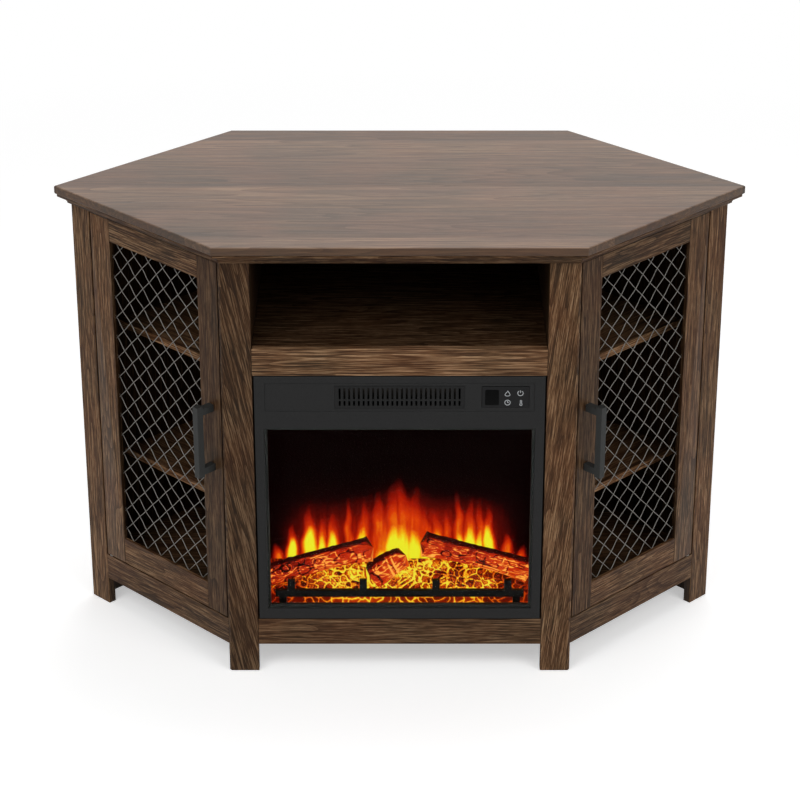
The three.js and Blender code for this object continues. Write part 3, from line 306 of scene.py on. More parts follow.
def dressPlainNodes():
    # hex tones, roughness, grit in mm and bump depth in mm of every finish that isn't laminate;
    # the real grit is finer, and is drawn this coarse so that it shows
    coatedSteel = plainFinish("powderCoatedSteelBlack", "#232323", "#2b2b2b", 0.5, 1.2, 0.03, specular=0.12)
    dieCast = plainFinish("powderCoatedZincHandle", "#262726", "#2f302f", 0.5, 1.0, 0.03, specular=0.2)
    mouldedBlack = plainFinish("mouldedAbsBlack", "#141414", "#1b1b1b", 0.45, 0.9, 0.02, specular=0.15)
    panelGloss = plainFinish("acrylicPanelBlack", "#101011", "#151516", 0.25, 2.0, 0.004, specular=0.15)
    # the back panel is dark brown hardboard drawn near black: painted shade inside the cabinet darkens its
    # colour
    hardboard = plainFinish("hardboardDark", "#1d1712", "#2a211a", 0.72, 2.5, 0.06, specular=0.2)
    grateSteel = plainFinish("blackedSteelGrate", "#050505", "#090808", 0.45, 1.5, 0.02, specular=0.12)
    housing = plainFinish("sheetSteelBareBack", "#080707", "#0e0c0c", 0.6, 1.5, 0.02, specular=0.05,
                          rear="#8f9294")
    barePlate = plainFinish("zincPlatedSteel", "#8d9093", "#a3a6a8", 0.34, 0.8, 0.01, metallic=1.0)
    nylon = plainFinish("mouldedNylonWhite", "#d8d6cf", "#e4e2db", 0.45, 0.8, 0.01)
    coil = plainFinish("nichromeCoil", "#4a4541", "#5d5751", 0.4, 0.6, 0.02, metallic=1.0)
    finishes = {
        "insert_bezel": coatedSteel, "door_handle_left": dieCast, "door_handle_right": dieCast,
        "outlet_grille": mouldedBlack, "control_panel": panelGloss, "back_panel": hardboard,
        "insert_housing": housing, "log_grate": grateSteel, "flame_rotor": barePlate,
        "flame_rotor_motor": barePlate, "blower_wheel": mouldedBlack, "blower_motor": barePlate,
        "blower_bearing_bracket": barePlate, "heating_element": coil, "window_glass": clearGlass(),
    }
    for side in ("left", "right"):
        for level in ("lower", "upper"):
            finishes[f"door_pivot_pin_{level}_{side}"] = barePlate
            finishes[f"pivot_bush_{level}_{side}"] = nylon
    for node, material in finishes.items():
        nodes[node].data.materials.clear()
        nodes[node].data.materials.append(material)


def easeEdges(node, width):
    # the loose triangles are welded and each sharp edge gets a small round, as sanded or folded edges have
    weld = nodes[node].modifiers.new("weld", "WELD")
    weld.merge_threshold = 0.01 * mm
    bevel = nodes[node].modifiers.new("easedEdges", "BEVEL")
    bevel.width, bevel.segments, bevel.limit_method = width * mm, 2, "ANGLE"
    bevel.angle_limit = math.radians(40)


def gridFaces(rows, columns, wrap):
    # quads of a grid whose points run row by row; wrap joins the last column to the first
    i, j = np.meshgrid(np.arange(rows - 1), np.arange(columns if wrap else columns - 1), indexing="ij")
    k = (j + 1) % columns
    corners = (i * columns + j, i * columns + k, (i + 1) * columns + k, (i + 1) * columns + j)
    return np.stack(corners, axis=-1).reshape(-1, 4)


def meshPiece(name, points, quads, material, body, stands=(), caps=(), attributes=None, smooth=True):
    # points in mm and quads become one object; caps are rings of point numbers, closed by one face each
    mesh = bpy.data.meshes.new(name)
    points, quads = np.asarray(points, float).reshape(-1, 3) * mm, np.asarray(quads, int)
    sizes = [4] * len(quads) + [len(ring) for ring in caps]
    loops = np.concatenate([quads.ravel(), *[np.asarray(ring, int) for ring in caps]])
    mesh.vertices.add(len(points))
    mesh.vertices.foreach_set("co", points.ravel())
    mesh.loops.add(len(loops))
    mesh.loops.foreach_set("vertex_index", loops)
    mesh.polygons.add(len(sizes))
    mesh.polygons.foreach_set("loop_start", np.concatenate([[0], np.cumsum(sizes)[:-1]]))
    mesh.polygons.foreach_set("use_smooth", np.full(len(sizes), smooth))
    mesh.update(calc_edges=True)
    mesh.validate()
    for key, values in (attributes or {}).items():
        layer = mesh.attributes.new(key, "FLOAT", "POINT")
        layer.data.foreach_set("value", np.asarray(values, float).ravel())
    mesh.materials.append(material)
    piece = bpy.data.objects.new(name, mesh)
    scene.collection.objects.link(piece)
    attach(piece, body)
    if stands:
        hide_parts(*stands)
    return piece


def softNoise(x, y, seed):
    # value noise in 0..1: random heights on whole numbers, eased between them by 3t^2 - 2t^3
    table = np.random.default_rng(seed).random((256, 256))
    i, j = np.floor(x).astype(int), np.floor(y).astype(int)
    u, v = x - i, y - j
    u, v = u * u * (3 - 2 * u), v * v * (3 - 2 * v)
    corner = [table[(i + a) % 256, (j + b) % 256] for a, b in ((0, 0), (1, 0), (0, 1), (1, 1))]
    low, high = corner[0] * (1 - u) + corner[1] * u, corner[2] * (1 - u) + corner[3] * u
    return low * (1 - v) + high * v


def hump(value, middle, width):
    # 1 at the middle, falling off as exp(-((value - middle) / width)^2)
    return np.exp(-((value - middle) / width) ** 2)


def tubes(paths, radius, sides):
    # a round section carried along each path: point + radius (cos a * side + sin a * up); rings wind outwards
    points, quads, caps, start = [], [], [], 0
    angle = np.arange(sides) / sides * 2 * math.pi
    for path in paths:
        path = np.asarray(path, float)
        along = np.gradient(path, axis=0)
        along /= np.linalg.norm(along, axis=1, keepdims=True)
        side = np.cross(along, [0.31, -0.87, 0.38])  # a direction that no path runs in
        side /= np.linalg.norm(side, axis=1, keepdims=True)
        up = np.cross(along, side)
        ring = np.cos(angle)[None, :, None] * side[:, None] + np.sin(angle)[None, :, None] * up[:, None]
        points.append((path[:, None] + radius * ring).reshape(-1, 3))
        quads.append(gridFaces(len(path), sides, True) + start)
        caps.append(start + np.arange(sides)[::-1])
        caps.append(start + (len(path) - 1) * sides + np.arange(sides))
        start += len(path) * sides
    return np.concatenate(points), np.concatenate(quads), caps


# the door's own plan: distances along the angled front from its front corner, depths square to it
half = math.sqrt(0.5)
door = {
    "cornerX": 297.609, "cornerY": -263.5,
    "openStart": 58, "openEnd": 288.245, "openLow": 156.1, "openHigh": 736.6,
}


def doorPoint(side, along, depth, z):
    # a place on the left (-1) or right (1) angled front
    return np.stack([side * (door["cornerX"] + (along - depth) * half),
                     door["cornerY"] + (along + depth) * half, z + 0 * along], axis=-1)


# woven wire: bright steel drawn to 1.6 mm, crimped in the loom, so each wire steps over and under the next
weave = {
    "pitch": 38, "firstAlong": 22.3, "firstHeight": 36, "wire": 0.8, "crimp": 0.95, "depth": 8.8,
    "hold": 4.5, "sides": 8, "perPitch": 12, "most": 40, "squareness": 0.8,
}


def makeWovenWire(side, label):
    # a wire runs z = level + slope * s over the door's front, and its depth there is
    # middle - slope * crimp * tanh(squareness * cos(2 pi (s - s0) / pitch)) / tanh(squareness)
    wire = plainFinish("drawnSteelWireGalvanised_" + label, "#6f6c66", "#84807a", 0.42, 1.5, 0.02,
                       metallic=0.2)
    pitch, s0 = weave["pitch"], door["openStart"] + weave["firstAlong"]
    z0 = door["openLow"] + weave["firstHeight"]
    left, right = door["openStart"] - weave["hold"], door["openEnd"] + weave["hold"]
    low, high = door["openLow"] - weave["hold"], door["openHigh"] + weave["hold"]
    paths = []
    for slope in (1, -1):
        levels = [z0 - slope * s0 + k * pitch for k in range(-weave["most"], weave["most"] + 1)]
        for level in levels:
            reach = sorted([(low - level) / slope, (high - level) / slope])
            start, end = max(left, reach[0]), min(right, reach[1])
            if end - start < pitch / 3:
                continue
            along = np.linspace(start, end, max(4, int((end - start) / pitch * weave["perPitch"])))
            wave = np.cos(2 * math.pi * (along - s0) / pitch)
            square = np.tanh(weave["squareness"] * wave) / math.tanh(weave["squareness"])
            depth = weave["depth"] - slope * weave["crimp"] * square
            paths.append(doorPoint(side, along, depth, level + slope * along))
    points, quads, caps = tubes(paths, weave["wire"], weave["sides"])
    return meshPiece("woven_wire_" + label, points, quads, wire, label + "_door",
                     ["door_wire_mesh_" + label], caps)


# cast resin logs lit from below: dark red bark whose cracks let the lamp's light through
logs = {
    "aroundPoints": 180, "alongPoints": 260, "capRings": 14, "endBulge": 0.3,
    "bark": 2.2, "barkStretch": 5, "ridge": 2.6, "twist": 9,
    # each weight is the share of its layer in the glow
    "glow": {"base": 0.27, "fine": 0.22, "crack": 0.66, "lowSide": 0.22, "char": 0.4, "dark": 0.56,
             "streak": 0.6, "crest": 0.85},
    "left": {"from": (-227, -205.5, 162), "to": (-53, -201.5, 212), "radius": 23.5, "thin": 0.84, "seed": 3,
             "arch": 3, "knot": (88, 0.45)},
    "centre": {"from": (-46, -205, 158), "to": (6, -198, 193), "radius": 21, "thin": 1.2, "seed": 8,
               "arch": 4, "streaks": (34, 43)},
    "right": {"from": (227, -203.5, 170), "to": (43, -199.5, 220), "radius": 23.5, "thin": 0.84, "seed": 5,
              "arch": 3},
}
barkStops = [(0.0, "#0a0101"), (0.2, "#420703"), (0.4, "#921404"), (0.6, "#c42a07"), (0.8, "#e05512"),
             (0.97, "#fdaa42")]


def makeLog(label, material):
    # a section of radius * taper * cap + bark(around, along), carried along an arched axis; heat is greatest
    # in the bark's cracks, and the numbers added inside softNoise only pick another part of it
    values, glow = logs[label], logs["glow"]
    start, end = np.array(values["from"], float), np.array(values["to"], float)
    length = np.linalg.norm(end - start)
    axis = (end - start) / length
    cap = np.sin(np.linspace(0, math.pi / 2, logs["capRings"]))
    body = np.linspace(0, 1, logs["alongPoints"])
    share = np.concatenate([np.zeros(len(cap) - 1), body, np.ones(len(cap) - 1)])
    shrink = np.concatenate([cap[:-1], np.ones(len(body)), cap[:-1][::-1]])
    bulge = np.concatenate([cap[:-1] - 1, np.zeros(len(body)), 1 - cap[:-1][::-1]])
    bulge *= values["radius"] * logs["endBulge"]
    angle = np.arange(logs["aroundPoints"]) / logs["aroundPoints"] * 2 * math.pi
    a, s = np.meshgrid(angle, share)
    shrinkGrid, x = np.repeat(shrink[:, None], len(angle), 1), s * length
    across = np.cos(a) * values["radius"]
    high = np.sin(a) * values["radius"]
    twist = softNoise(x / 26, across / 22 + 9, values["seed"]) * logs["twist"]
    lines = softNoise((x + twist) / (logs["ridge"] * logs["barkStretch"]) + high / 30,
                      (across + high * 0.7 + twist) / logs["ridge"] + 40, values["seed"] + 1)
    if "knot" in values:
        # rings round a spot on the bark, at a length and an angle, fading out from it
        spot, turn = values["knot"]
        away = np.hypot((x - spot) / 1.3, values["radius"] * ((a - turn + math.pi) % (2 * math.pi) - math.pi))
        weight = np.exp(-(away / 9) ** 4)
        lines = lines * (1 - weight) + weight * (0.5 + 0.3 * np.cos(away * 0.62))
    fine = softNoise(x / 9, (across - high * 0.8) / 2.4 + 70, values["seed"] + 2)
    relief = np.abs(lines - 0.5) * 2 * 0.7 + fine * 0.3
    broken = np.abs(2 * s - 1) ** 12 * (softNoise(a * 3, x / 40, values["seed"] + 3) - 0.4) * 0.35
    girth = values["thin"] + (1 - values["thin"]) * s
    radius = values["radius"] * girth * shrinkGrid * (0.93 + 0.07 * np.cos(x / 37) + broken)
    radius = np.maximum(radius + logs["bark"] * (relief - 0.6) * shrinkGrid, 0.02)
    up = np.array([0, 0, 1.0])
    sideways = np.cross(axis, up)
    sideways /= np.linalg.norm(sideways)
    upright = np.cross(sideways, axis)
    centre = start + axis * (x + np.repeat(bulge[:, None], len(angle), 1))[..., None]
    centre = centre + up * (values["arch"] * (1 - (2 * s - 1) ** 2))[..., None]
    points = centre + radius[..., None] * (np.cos(a)[..., None] * sideways + np.sin(a)[..., None] * upright)
    crest = np.clip((np.sin(a) - 0.8) / 0.16, 0, 1)
    lowSide = np.clip(0.6 - 0.6 * np.sin(a), 0, 1)
    char = softNoise(x / 34, across / 16 + 30, values["seed"] + 5)
    crack = hump(lines, 0.5, 0.085) * np.clip(fine * 2 - 0.1, 0.2, 1)
    dark = hump(softNoise(x / 15, across / 3.4 + 110, values["seed"] + 7), 0.5, 0.05)
    heat = glow["base"] + glow["fine"] * fine + glow["crack"] * crack + glow["lowSide"] * lowSide
    heat += glow["char"] * (char - 0.5) - glow["dark"] * dark
    for streak in values.get("streaks", ()):
        heat += glow["streak"] * hump(x - high / 6, streak, 1.6)
    heat = np.clip(heat * (1 - glow["crest"] * crest), 0, 1)
    rows = len(share)
    quads = gridFaces(rows, len(angle), True)
    caps = [np.arange(len(angle))[::-1], (rows - 1) * len(angle) + np.arange(len(angle))]
    return meshPiece("bark_log_" + label, points, quads, material, "cabinet", ["log_" + label], caps,
                     {"glowShare": heat})


# moulded coals over the lamp: pale yellow where the light comes between them, red where they are thick
coals = {
    "halfLength": 229.4, "low": 106.6, "front": -229.3, "back": -171.7, "frontHigh": 146.2, "backHigh": 176,
    "columns": 460, "rows": 90, "faceRows": 25, "size": 15, "smallShare": 0.55, "lump": 4.2, "seed": 21,
    "clearance": 0.8, "troughRim": 12, "troughLow": 132,
    # each weight is the share of its layer in the glow: the seams between coals are pale, their rims dark
    "glow": {"base": 0.1, "lumps": 0.75, "seam": 0.62, "rim": 0.4, "smallSeam": 0.35, "smallRim": 0.35,
             "vein": 0.28, "veinRim": 0.42, "lowBase": 0.12, "lowLumps": 0.4, "lowSeam": 0.72, "ends": 0.6},
}
coalStops = [(0.0, "#140202"), (0.2, "#5c0c02"), (0.42, "#b02a04"), (0.6, "#e8650b"), (0.78, "#fdae18"),
             (0.96, "#f8e63c")]


def distanceToCoals(u, v, size, seed):
    # distance to the nearest and second nearest of jittered points on a square grid, in grid steps
    table = np.random.default_rng(seed).random((64, 64, 2))
    i, j = np.floor(u / size).astype(int), np.floor(v / size).astype(int)
    steps = []
    for a in (-1, 0, 1):
        for b in (-1, 0, 1):
            spot = table[(i + a) % 64, (j + b) % 64]
            steps.append(np.hypot(u / size - (i + a + spot[..., 0]), v / size - (j + b + spot[..., 1])))
    steps = np.sort(np.stack(steps), axis=0)
    return steps[0], steps[1]


def makeCoals(material):
    # a section (front face, slope, back, floor) carried along X; the coals raise it along its own normal
    c, glow = coals, coals["glow"]
    corners = np.array([[c["front"], c["low"]], [c["front"], c["frontHigh"]], [c["back"], c["backHigh"]],
                        [c["back"], c["low"]]])
    shares = np.concatenate([np.linspace(0, 1, c["faceRows"] + 1),
                             np.linspace(1, 2, c["rows"] - c["faceRows"])[1:], [3.0]])
    section = np.stack([np.interp(shares, range(4), corners[:, k]) for k in (0, 1)], axis=-1)
    lengths = np.concatenate([[0], np.cumsum(np.linalg.norm(np.diff(section, axis=0), axis=1))])
    x = np.linspace(-c["halfLength"], c["halfLength"], c["columns"])
    gx, gs = np.meshgrid(x, lengths, indexing="ij")
    warp = softNoise(gx / 22, gs / 22, 4) * 16 + softNoise(gx / 6, gs / 6, 9) * 5
    near, second = distanceToCoals(gx + warp, gs + warp * 0.7, c["size"], c["seed"])
    edge = np.clip((second - near) * 1.6, 0, 1)
    ease = np.clip(np.minimum(gs, lengths[-2] - gs) / 5, 0, 1) * (shares < 3)
    lift = (np.sqrt(edge) - 1) * c["lump"] * ease
    y = section[:, 0][None, :] - lift * 0.5 * (shares <= 1) + 0 * gx
    z = section[:, 1][None, :] + lift * (shares > 1) + 0 * gx
    for label in ("left", "centre", "right"):
        z = underLog(gx, y, z, label)
    near, second = distanceToCoals(gx * 1.1 - warp, gs * 1.2 + warp, c["size"] * c["smallShare"],
                                   c["seed"] + 1)
    small = np.clip((second - near) * 1.6, 0, 1)
    lumps = softNoise(gx / 26, gs / 18, 6)
    heat = glow["base"] + glow["lumps"] * lumps + glow["seam"] * hump(edge, 0, 0.3)
    heat -= glow["rim"] * hump(edge, 0.44, 0.1)
    heat += glow["smallSeam"] * hump(small, 0, 0.2) * np.clip(lumps * 4 - 1.4, 0, 1)
    heat -= glow["smallRim"] * hump(small, 0.34, 0.08)
    veins = softNoise(gx / 5, gs / 4, 11)
    heat += glow["vein"] * hump(veins, 0.5, 0.05) - glow["veinRim"] * hump(veins, 0.36, 0.06)
    upper = np.clip((gs - 34) / 8, 0, 1)
    lower = glow["lowBase"] + glow["lowLumps"] * lumps + glow["lowSeam"] * hump(edge, 0, 0.22)
    heat = heat * upper + (1 - upper) * lower
    heat = np.clip(heat * (1 - glow["ends"] * np.abs(gx / c["halfLength"]) ** 3), 0, 1)
    points = np.stack([gx, y, z], axis=-1)
    rows, columns = points.shape[:2]
    quads = gridFaces(rows, columns, True)[:, ::-1]
    caps = [np.arange(columns), (rows - 1) * columns + np.arange(columns)[::-1]]
    return meshPiece("coal_bed", points, quads, material, "cabinet", ["ember_bed"], caps, {"glowShare": heat})


def underLog(x, y, z, label):
    # the bed sinks below a log: its height is at most the log's underside over the point
    values = logs[label]
    start, end = np.array(values["from"], float), np.array(values["to"], float)
    flat = end[:2] - start[:2]
    share = np.clip(((x - start[0]) * flat[0] + (y - start[1]) * flat[1]) / (flat @ flat), 0, 1)
    away = np.hypot(x - start[0] - share * flat[0], y - start[1] - share * flat[1])
    reach = values["radius"] + coals["clearance"]
    axisHeight = start[2] + share * (end[2] - start[2]) + values["arch"] * (1 - (2 * share - 1) ** 2)
    under = axisHeight - np.sqrt(np.clip(reach ** 2 - away ** 2, 0, None))
    under = np.maximum(under, coals["troughLow"])
    onTop = z > coals["frontHigh"] - coals["troughRim"]
    return np.where((away < reach) & onTop, np.minimum(z, under), z)


# the flame picture: the lamp's light thrown on the back of a smoked acrylic screen
flames = {
    "columns": 300, "rows": 320, "low": 150, "seed": 31, "sway": 9,
    # a dim haze behind the tongues: its glow, the height of its middle, its spread and its half length
    "haze": {"glow": 0.19, "middle": 235, "spread": 62, "halfLength": 205},
    # glow and width of a tongue's red body, of its yellow core and of the halo round it
    "body": (0.46, 1.42), "core": (0.6, 0.85), "halo": (0.36, 2.1),
    # each tongue: middle in x, tip height, half width, lean of the tip, share of its height that is yellow
    "tongues": [(-216, 204, 10, -3, 0.1), (-190, 246, 10, 2, 0.6), (-158, 280, 14, -2, 0.58),
                (-137, 264, 10, -4, 0.5), (-119, 276, 12, 5, 0.52), (-90, 290, 9, -3, 0.3),
                (-67, 289, 13, 4, 0.5), (-33, 300, 18, -6, 0.15), (-10, 316, 20, 2, 0.42),
                (3, 326, 23, -3, 0.4), (24, 312, 18, 4, 0.38), (46, 288, 15, -6, 0.3),
                (67, 280, 13, -4, 0.48), (84, 276, 10, -4, 0.4), (106, 302, 11, -4, 0.38),
                (123, 290, 15, 4, 0.5), (141, 292, 10, 2, 0.45), (158, 282, 13, -3, 0.58),
                (188, 230, 11, 2, 0.35), (213, 202, 9, 3, 0.1)],
}
flameStops = [(0.0, "#020000"), (0.08, "#120101"), (0.2, "#560703"), (0.34, "#a51605"), (0.5, "#dc3607"),
              (0.66, "#f77e0d"), (0.8, "#fdc216"), (0.95, "#f7ee2c")]


def makeFlames():
    # heat at (x, z) is the greatest over the tongues of exp(-(|x - middle| / width)^n) * fade(height),
    # with a halo round each tongue, on a haze that lies behind them all
    low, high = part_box("flame_screen")
    low, high = np.array(low) / mm, np.array(high) / mm
    material = glowFromHeat("smokedAcrylicFlamePicture", flameStops, 1.0, "#020101", 0.5, 0.01)
    x = np.linspace(low[0], high[0], flames["columns"])
    z = np.linspace(low[2], high[2], flames["rows"])
    gx, gz = np.meshgrid(x, z, indexing="ij")
    haze = flames["haze"]
    heat = haze["glow"] * hump(gz, haze["middle"], haze["spread"]) * np.exp(-(gx / haze["halfLength"]) ** 8)
    (bodyGlow, bodyWidth), (coreGlow, coreWidth) = flames["body"], flames["core"]
    haloGlow, haloWidth = flames["halo"]
    for number, (middle, tip, width, lean, yellow) in enumerate(flames["tongues"]):
        # t is the share of the height; the red body tapers to the tip and the yellow core ends below it
        t = np.clip((gz - flames["low"]) / (tip - flames["low"]), 0, 1.3)
        sway = (softNoise(gz / 26 + number * 7, 0 * gz + number, flames["seed"]) - 0.5) * flames["sway"] * t
        away = np.abs(gx - middle - lean * t ** 2 - sway)
        reach = bodyWidth * width * np.clip(1.08 - t, 0.02, 1) ** 0.5
        body = bodyGlow * np.exp(-(away / reach) ** 2.6) * np.clip((1.14 - t) / 0.5, 0, 1)
        rise = np.clip((yellow + 0.14 - t) / 0.26, 0, 1)
        core = coreGlow * np.exp(-(away / (coreWidth * width * (0.3 + 0.7 * rise))) ** 2.2) * rise ** 0.8
        halo = haloGlow * hump(away, 0, haloWidth * width) * np.clip(1.1 - t, 0, 1)
        heat = np.maximum(heat, body + core) + 0.08 * body + halo * np.clip(1 - 2 * heat, 0, 1) * 0.5
    lick = softNoise(gx / 3.2, gz / 34, 12) * 0.2 + softNoise(gx / 9, gz / 22, 13) * 0.18
    heat = np.clip(heat * (0.8 + lick), 0, 1)
    front = np.stack([gx, np.full_like(gx, low[1]), gz], axis=-1)
    rows, columns = gx.shape
    rim = np.concatenate([np.arange(columns), np.arange(1, rows) * columns + columns - 1,
                          (rows - 1) * columns + np.arange(columns - 2, -1, -1),
                          np.arange(rows - 2, 0, -1) * columns])
    count = rows * columns
    back = front.reshape(-1, 3)[rim] + [0, high[1] - low[1], 0]
    points = np.concatenate([front.reshape(-1, 3), back])
    following = np.roll(np.arange(len(rim)), -1)
    sides = np.stack([rim, rim[following], count + following, count + np.arange(len(rim))], axis=-1)
    quads = np.concatenate([gridFaces(rows, columns, False)[:, ::-1], sides])
    caps = [count + np.arange(len(rim))]
    heats = np.concatenate([heat.ravel(), np.zeros(len(rim))])
    return meshPiece("flame_picture", points, quads, material, "cabinet", ["flame_screen"], caps,
                     {"glowShare": heats}, smooth=False)


# touch keys: pale screen print on the acrylic, and a dark display window
panel = {
    "face": -263.5, "line": 0.6, "sides": 6, "keySize": 4.6,
    "keys": {"flame": (182.1, 542.6), "power": (204.0, 543.0),
             "timer": (182.4, 525.5), "heat": (205.1, 525.3)},
    "display": {"left": 144.4, "right": 167.8, "low": 520.8, "high": 548.8, "corner": 2,
                "proud": 0.35, "sunk": 0.3, "bevel": 0.25, "points": 48},
}


def keyStrokes(kind):
    # each sign is a few strokes in the key's own square, from -1 to 1
    turn = np.linspace(0, 2 * math.pi, 33)
    if kind == "power":
        arc = np.linspace(math.radians(125), math.radians(415), 29)
        return [(np.cos(arc), np.sin(arc)), (np.zeros(4), np.linspace(0.1, 1.1, 4))]
    if kind == "timer":
        return [(np.cos(turn), np.sin(turn)), (np.zeros(4), np.linspace(0, 0.65, 4)),
                (np.linspace(0, 0.45, 4), np.zeros(4))]
    if kind == "heat":
        arc = np.linspace(math.radians(130), math.radians(410), 25)
        stem = np.linspace(-0.3, 1.0, 5)
        bulb = (0.42 * np.cos(arc), -0.7 + 0.42 * np.sin(arc))
        return [bulb, (0 * stem - 0.24, stem), (0 * stem + 0.24, stem)]
    # a flame: a drop whose half width is sin(t) * (1 - cos(t)) / 2, leaning a little at the tip
    side = 0.9 * np.sin(turn) * (1 - np.cos(turn)) / 1.3
    rise = np.cos(turn)
    return [(side + 0.15 * (rise + 1) ** 2 / 4, rise * 1.05)]


def makeKeys():
    # round strokes half sunk in the panel's face
    inked = plainFinish("screenPrintedInkPale", "#b9bdc0", "#cfd2d4", 0.5, 0.6, 0.01)
    for kind, (x, z) in panel["keys"].items():
        paths = []
        for across, up in keyStrokes(kind):
            size = panel["keySize"]
            depth = np.full(len(across), panel["face"])
            paths.append(np.stack([x + size * across, depth, z + size * up], axis=-1))
        points, quads, caps = tubes(paths, panel["line"], panel["sides"])
        meshPiece("key_sign_" + kind, points, quads, inked, "cabinet", (), caps)


def makeDisplay():
    # a thin plate with round corners: its outline is carried from the face to just proud of it, then inwards
    d = panel["display"]
    glossy = plainFinish("displayLensBlack", "#030303", "#060606", 0.3, 4.0, 0.002, specular=0.05)
    width, height, corner = (d["right"] - d["left"]) / 2, (d["high"] - d["low"]) / 2, d["corner"]
    count = d["points"]
    turn = np.linspace(0, 2 * math.pi, count + 1)[:-1]
    sign = np.stack([np.sign(np.cos(turn) + 1e-9), np.sign(np.sin(turn) + 1e-9)], axis=-1)
    outline = np.stack([np.cos(turn), np.sin(turn)], axis=-1) * corner
    outline += sign * np.array([width - corner, height - corner])
    middle = np.array([(d["left"] + d["right"]) / 2, (d["low"] + d["high"]) / 2])
    rings = []
    for shrink, proud in ((0.0, -d["sunk"]), (0.0, d["proud"] * 0.6), (d["bevel"], d["proud"])):
        flat = outline - sign * shrink
        depth = np.full(count, panel["face"] - proud)
        rings.append(np.stack([middle[0] + flat[:, 0], depth, middle[1] + flat[:, 1]], -1))
    quads = gridFaces(len(rings), count, True)
    caps = [np.arange(count)[::-1], (len(rings) - 1) * count + np.arange(count)]
    meshPiece("display_lens", np.concatenate(rings), quads, glossy, "cabinet", (), caps)


# wire nails that hold the thin back panel to the boards' rear edges
nails = {"radius": 3.0, "proud": 0.7, "edge": 9, "pitch": 96, "sides": 12}


def makeNails():
    # each head is a low dome: rings of radius r * cos(t) at height h * sin(t), closed by the panel's face
    low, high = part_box("back_panel")
    left, bottom, right, top = low[0] / mm, low[2] / mm, high[0] / mm, high[2] / mm
    edge = nails["edge"]
    upright = np.linspace(bottom + edge, top - edge, round((top - bottom) / nails["pitch"]))
    level = np.linspace(left + edge, right - edge, round((right - left) / nails["pitch"]))
    spots = [(x, z) for x in (left + edge, right - edge) for z in upright]
    spots += [(x, z) for z in (bottom + edge, top - edge) for x in level[1:-1]]
    turn = np.arange(nails["sides"]) / nails["sides"] * 2 * math.pi
    rise = np.array([-0.3, 0.0, 0.35, 0.7, 1.2])
    ring = nails["radius"] * np.cos(np.clip(rise, 0, None))
    height = high[1] / mm + nails["proud"] * np.where(rise < 0, rise, np.sin(rise))
    points, quads, caps = [], [], []
    size = len(rise) * len(turn)
    for number, (x, z) in enumerate(spots):
        across = x + ring[:, None] * np.cos(turn)[None, :]
        up = z + ring[:, None] * np.sin(turn)[None, :]
        depth = np.repeat(height[:, None], len(turn), 1)
        points.append(np.stack([across, depth, up], axis=-1).reshape(-1, 3))
        quads.append(gridFaces(len(rise), len(turn), True)[:, ::-1] + number * size)
        caps.append(number * size + np.arange(len(turn)))
        caps.append(number * size + size - len(turn) + np.arange(len(turn))[::-1])
    steel = plainFinish("zincPlatedNail", "#8d9093", "#a3a6a8", 0.34, 0.8, 0.01, metallic=1.0)
    meshPiece("back_panel_nails", np.concatenate(points), np.concatenate(quads), steel, "cabinet", (), caps)


def seenDirectly(tree):
    # 1 for the camera, reflections and what is seen through glass, 0 for the light that reaches the object
    path = addNode(tree, "LightPath")
    seen = addNode(tree, "Math", {0: path.outputs["Is Camera Ray"], 1: path.outputs["Is Glossy Ray"]},
                   operation="MAXIMUM").outputs[0]
    return addNode(tree, "Math", {0: seen, 1: path.outputs["Is Transmission Ray"]},
                   operation="MAXIMUM").outputs[0]


# metres: the floor's radius, and the distances between which it turns to plain white
stage = {"radius": 9, "points": 64, "whiteFrom": 1.3, "whiteTo": 3.2, "glow": 0.45}


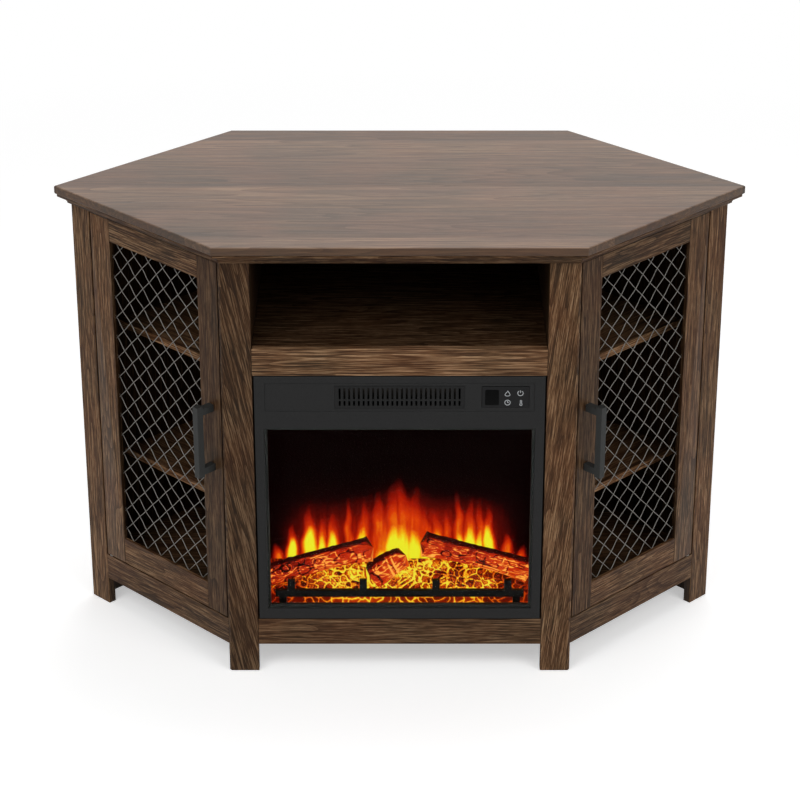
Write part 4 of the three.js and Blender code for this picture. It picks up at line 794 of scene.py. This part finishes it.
def makeStage():
    # a pale studio floor: the shadow stays, and the camera and the reflections see it as white
    material, tree, output = newMaterial("studioFloorPale")
    seen = seenDirectly(tree)
    # away from the object the floor turns into plain white, so it has no far edge
    place = addNode(tree, "TexCoord").outputs["Object"]
    away = addNode(tree, "VectorMath", {0: place}, operation="LENGTH").outputs["Value"]
    far = addNode(tree, "MapRange", {"Value": away, "From Min": stage["whiteFrom"],
                                     "From Max": stage["whiteTo"]}).outputs[0]
    glow = addNode(tree, "MapRange", {"Value": far, "To Min": stage["glow"], "To Max": 1.0}).outputs[0]
    lift = addNode(tree, "Math", {0: seen, 1: glow}, operation="MULTIPLY").outputs[0]
    paint = addNode(tree, "MixRGB", {"Fac": far, "Color1": linear("#f4f4f4"), "Color2": linear("#000000")},
                    blend_type="MIX").outputs["Color"]
    surface = addNode(tree, "BsdfPrincipled", {"Base Color": paint, "Roughness": 1.0,
                                               "Specular IOR Level": 0.0, "Emission Color": linear("#ffffff"),
                                               "Emission Strength": lift})
    tree.links.new(surface.outputs[0], output.inputs["Surface"])
    turn = np.linspace(0, 2 * math.pi, stage["points"] + 1)[:-1]
    mesh = bpy.data.meshes.new("floor")
    rim = [(stage["radius"] * math.cos(a), stage["radius"] * math.sin(a), -0.0005) for a in turn]
    mesh.from_pydata(rim, [], [list(range(stage["points"]))])
    mesh.materials.append(material)
    floor = bpy.data.objects.new("studio_floor", mesh)
    scene.collection.objects.link(floor)

    world = bpy.data.worlds.new("studioWorld")
    scene.world = world
    world.use_nodes = True
    tree = world.node_tree
    tree.nodes.clear()
    seen = seenDirectly(tree)
    strength = addNode(tree, "MapRange", {"Value": seen, "To Min": light["fill"], "To Max": 1.0}).outputs[0]
    sky = addNode(tree, "Background", {"Color": linear("#ffffff"), "Strength": strength})
    tree.links.new(sky.outputs[0], addNode(tree, "OutputWorld").inputs["Surface"])


light = {
    "fill": 0.27, "aim": (0, 0, 0.4),
    "softboxes": [("keySoftbox", (-2.2, -3.2, 3.9), 2.6, 80), ("sideSoftbox", (2.6, -3.0, 3.4), 2.4, 62),
                  ("topSoftbox", (0.4, 1.4, 4.0), 2.4, 50)],
}


def makeLights():
    for name, place, size, power in light["softboxes"]:
        data = bpy.data.lights.new(name, "AREA")
        data.size, data.energy = size, power
        lamp = bpy.data.objects.new(name, data)
        lamp.location = place
        aim = Vector(light["aim"]) - Vector(place)
        lamp.rotation_euler = aim.to_track_quat("-Z", "Y").to_euler()
        scene.collection.objects.link(lamp)


camera = {"place": (0.0007, -4.2306, 2.3913), "tilt": 64.869, "lens": 116.73}


def makeCamera():
    data = bpy.data.cameras.new("photoCamera")
    data.sensor_width, data.lens = 36, camera["lens"]
    shot = bpy.data.objects.new("photoCamera", data)
    shot.location = camera["place"]
    shot.rotation_euler = (math.radians(camera["tilt"]), 0, 0)
    scene.collection.objects.link(shot)
    scene.camera = shot


makeCamera()
makeStage()
makeLights()
scene.view_settings.view_transform = "Standard"
print("camera, floor and lights")

dressBoards()
dressPlainNodes()
edgeRound = 0.8  # mm, on the boards and on the folded or cast metal
metal = ["insert_bezel", "log_grate", "door_handle_left", "door_handle_right"]
for node in [n for names in boards.values() for n in names] + metal:
    easeEdges(node, edgeRound)
print("boards and plain nodes dressed")

for side, label in ((-1, "left"), (1, "right")):
    makeWovenWire(side, label)
print("woven wire")

bark = glowFromHeat("castResinBark", barkStops, 1.1, "#150805", 0.75, 0.1)
for label in ("left", "centre", "right"):
    makeLog(label, bark)
makeCoals(glowFromHeat("castResinCoals", coalStops, 1.0, "#150805", 0.6, 0.1))
makeFlames()
print("logs, coals and flames")

makeKeys()
makeDisplay()
makeNails()
print("control panel and nails")
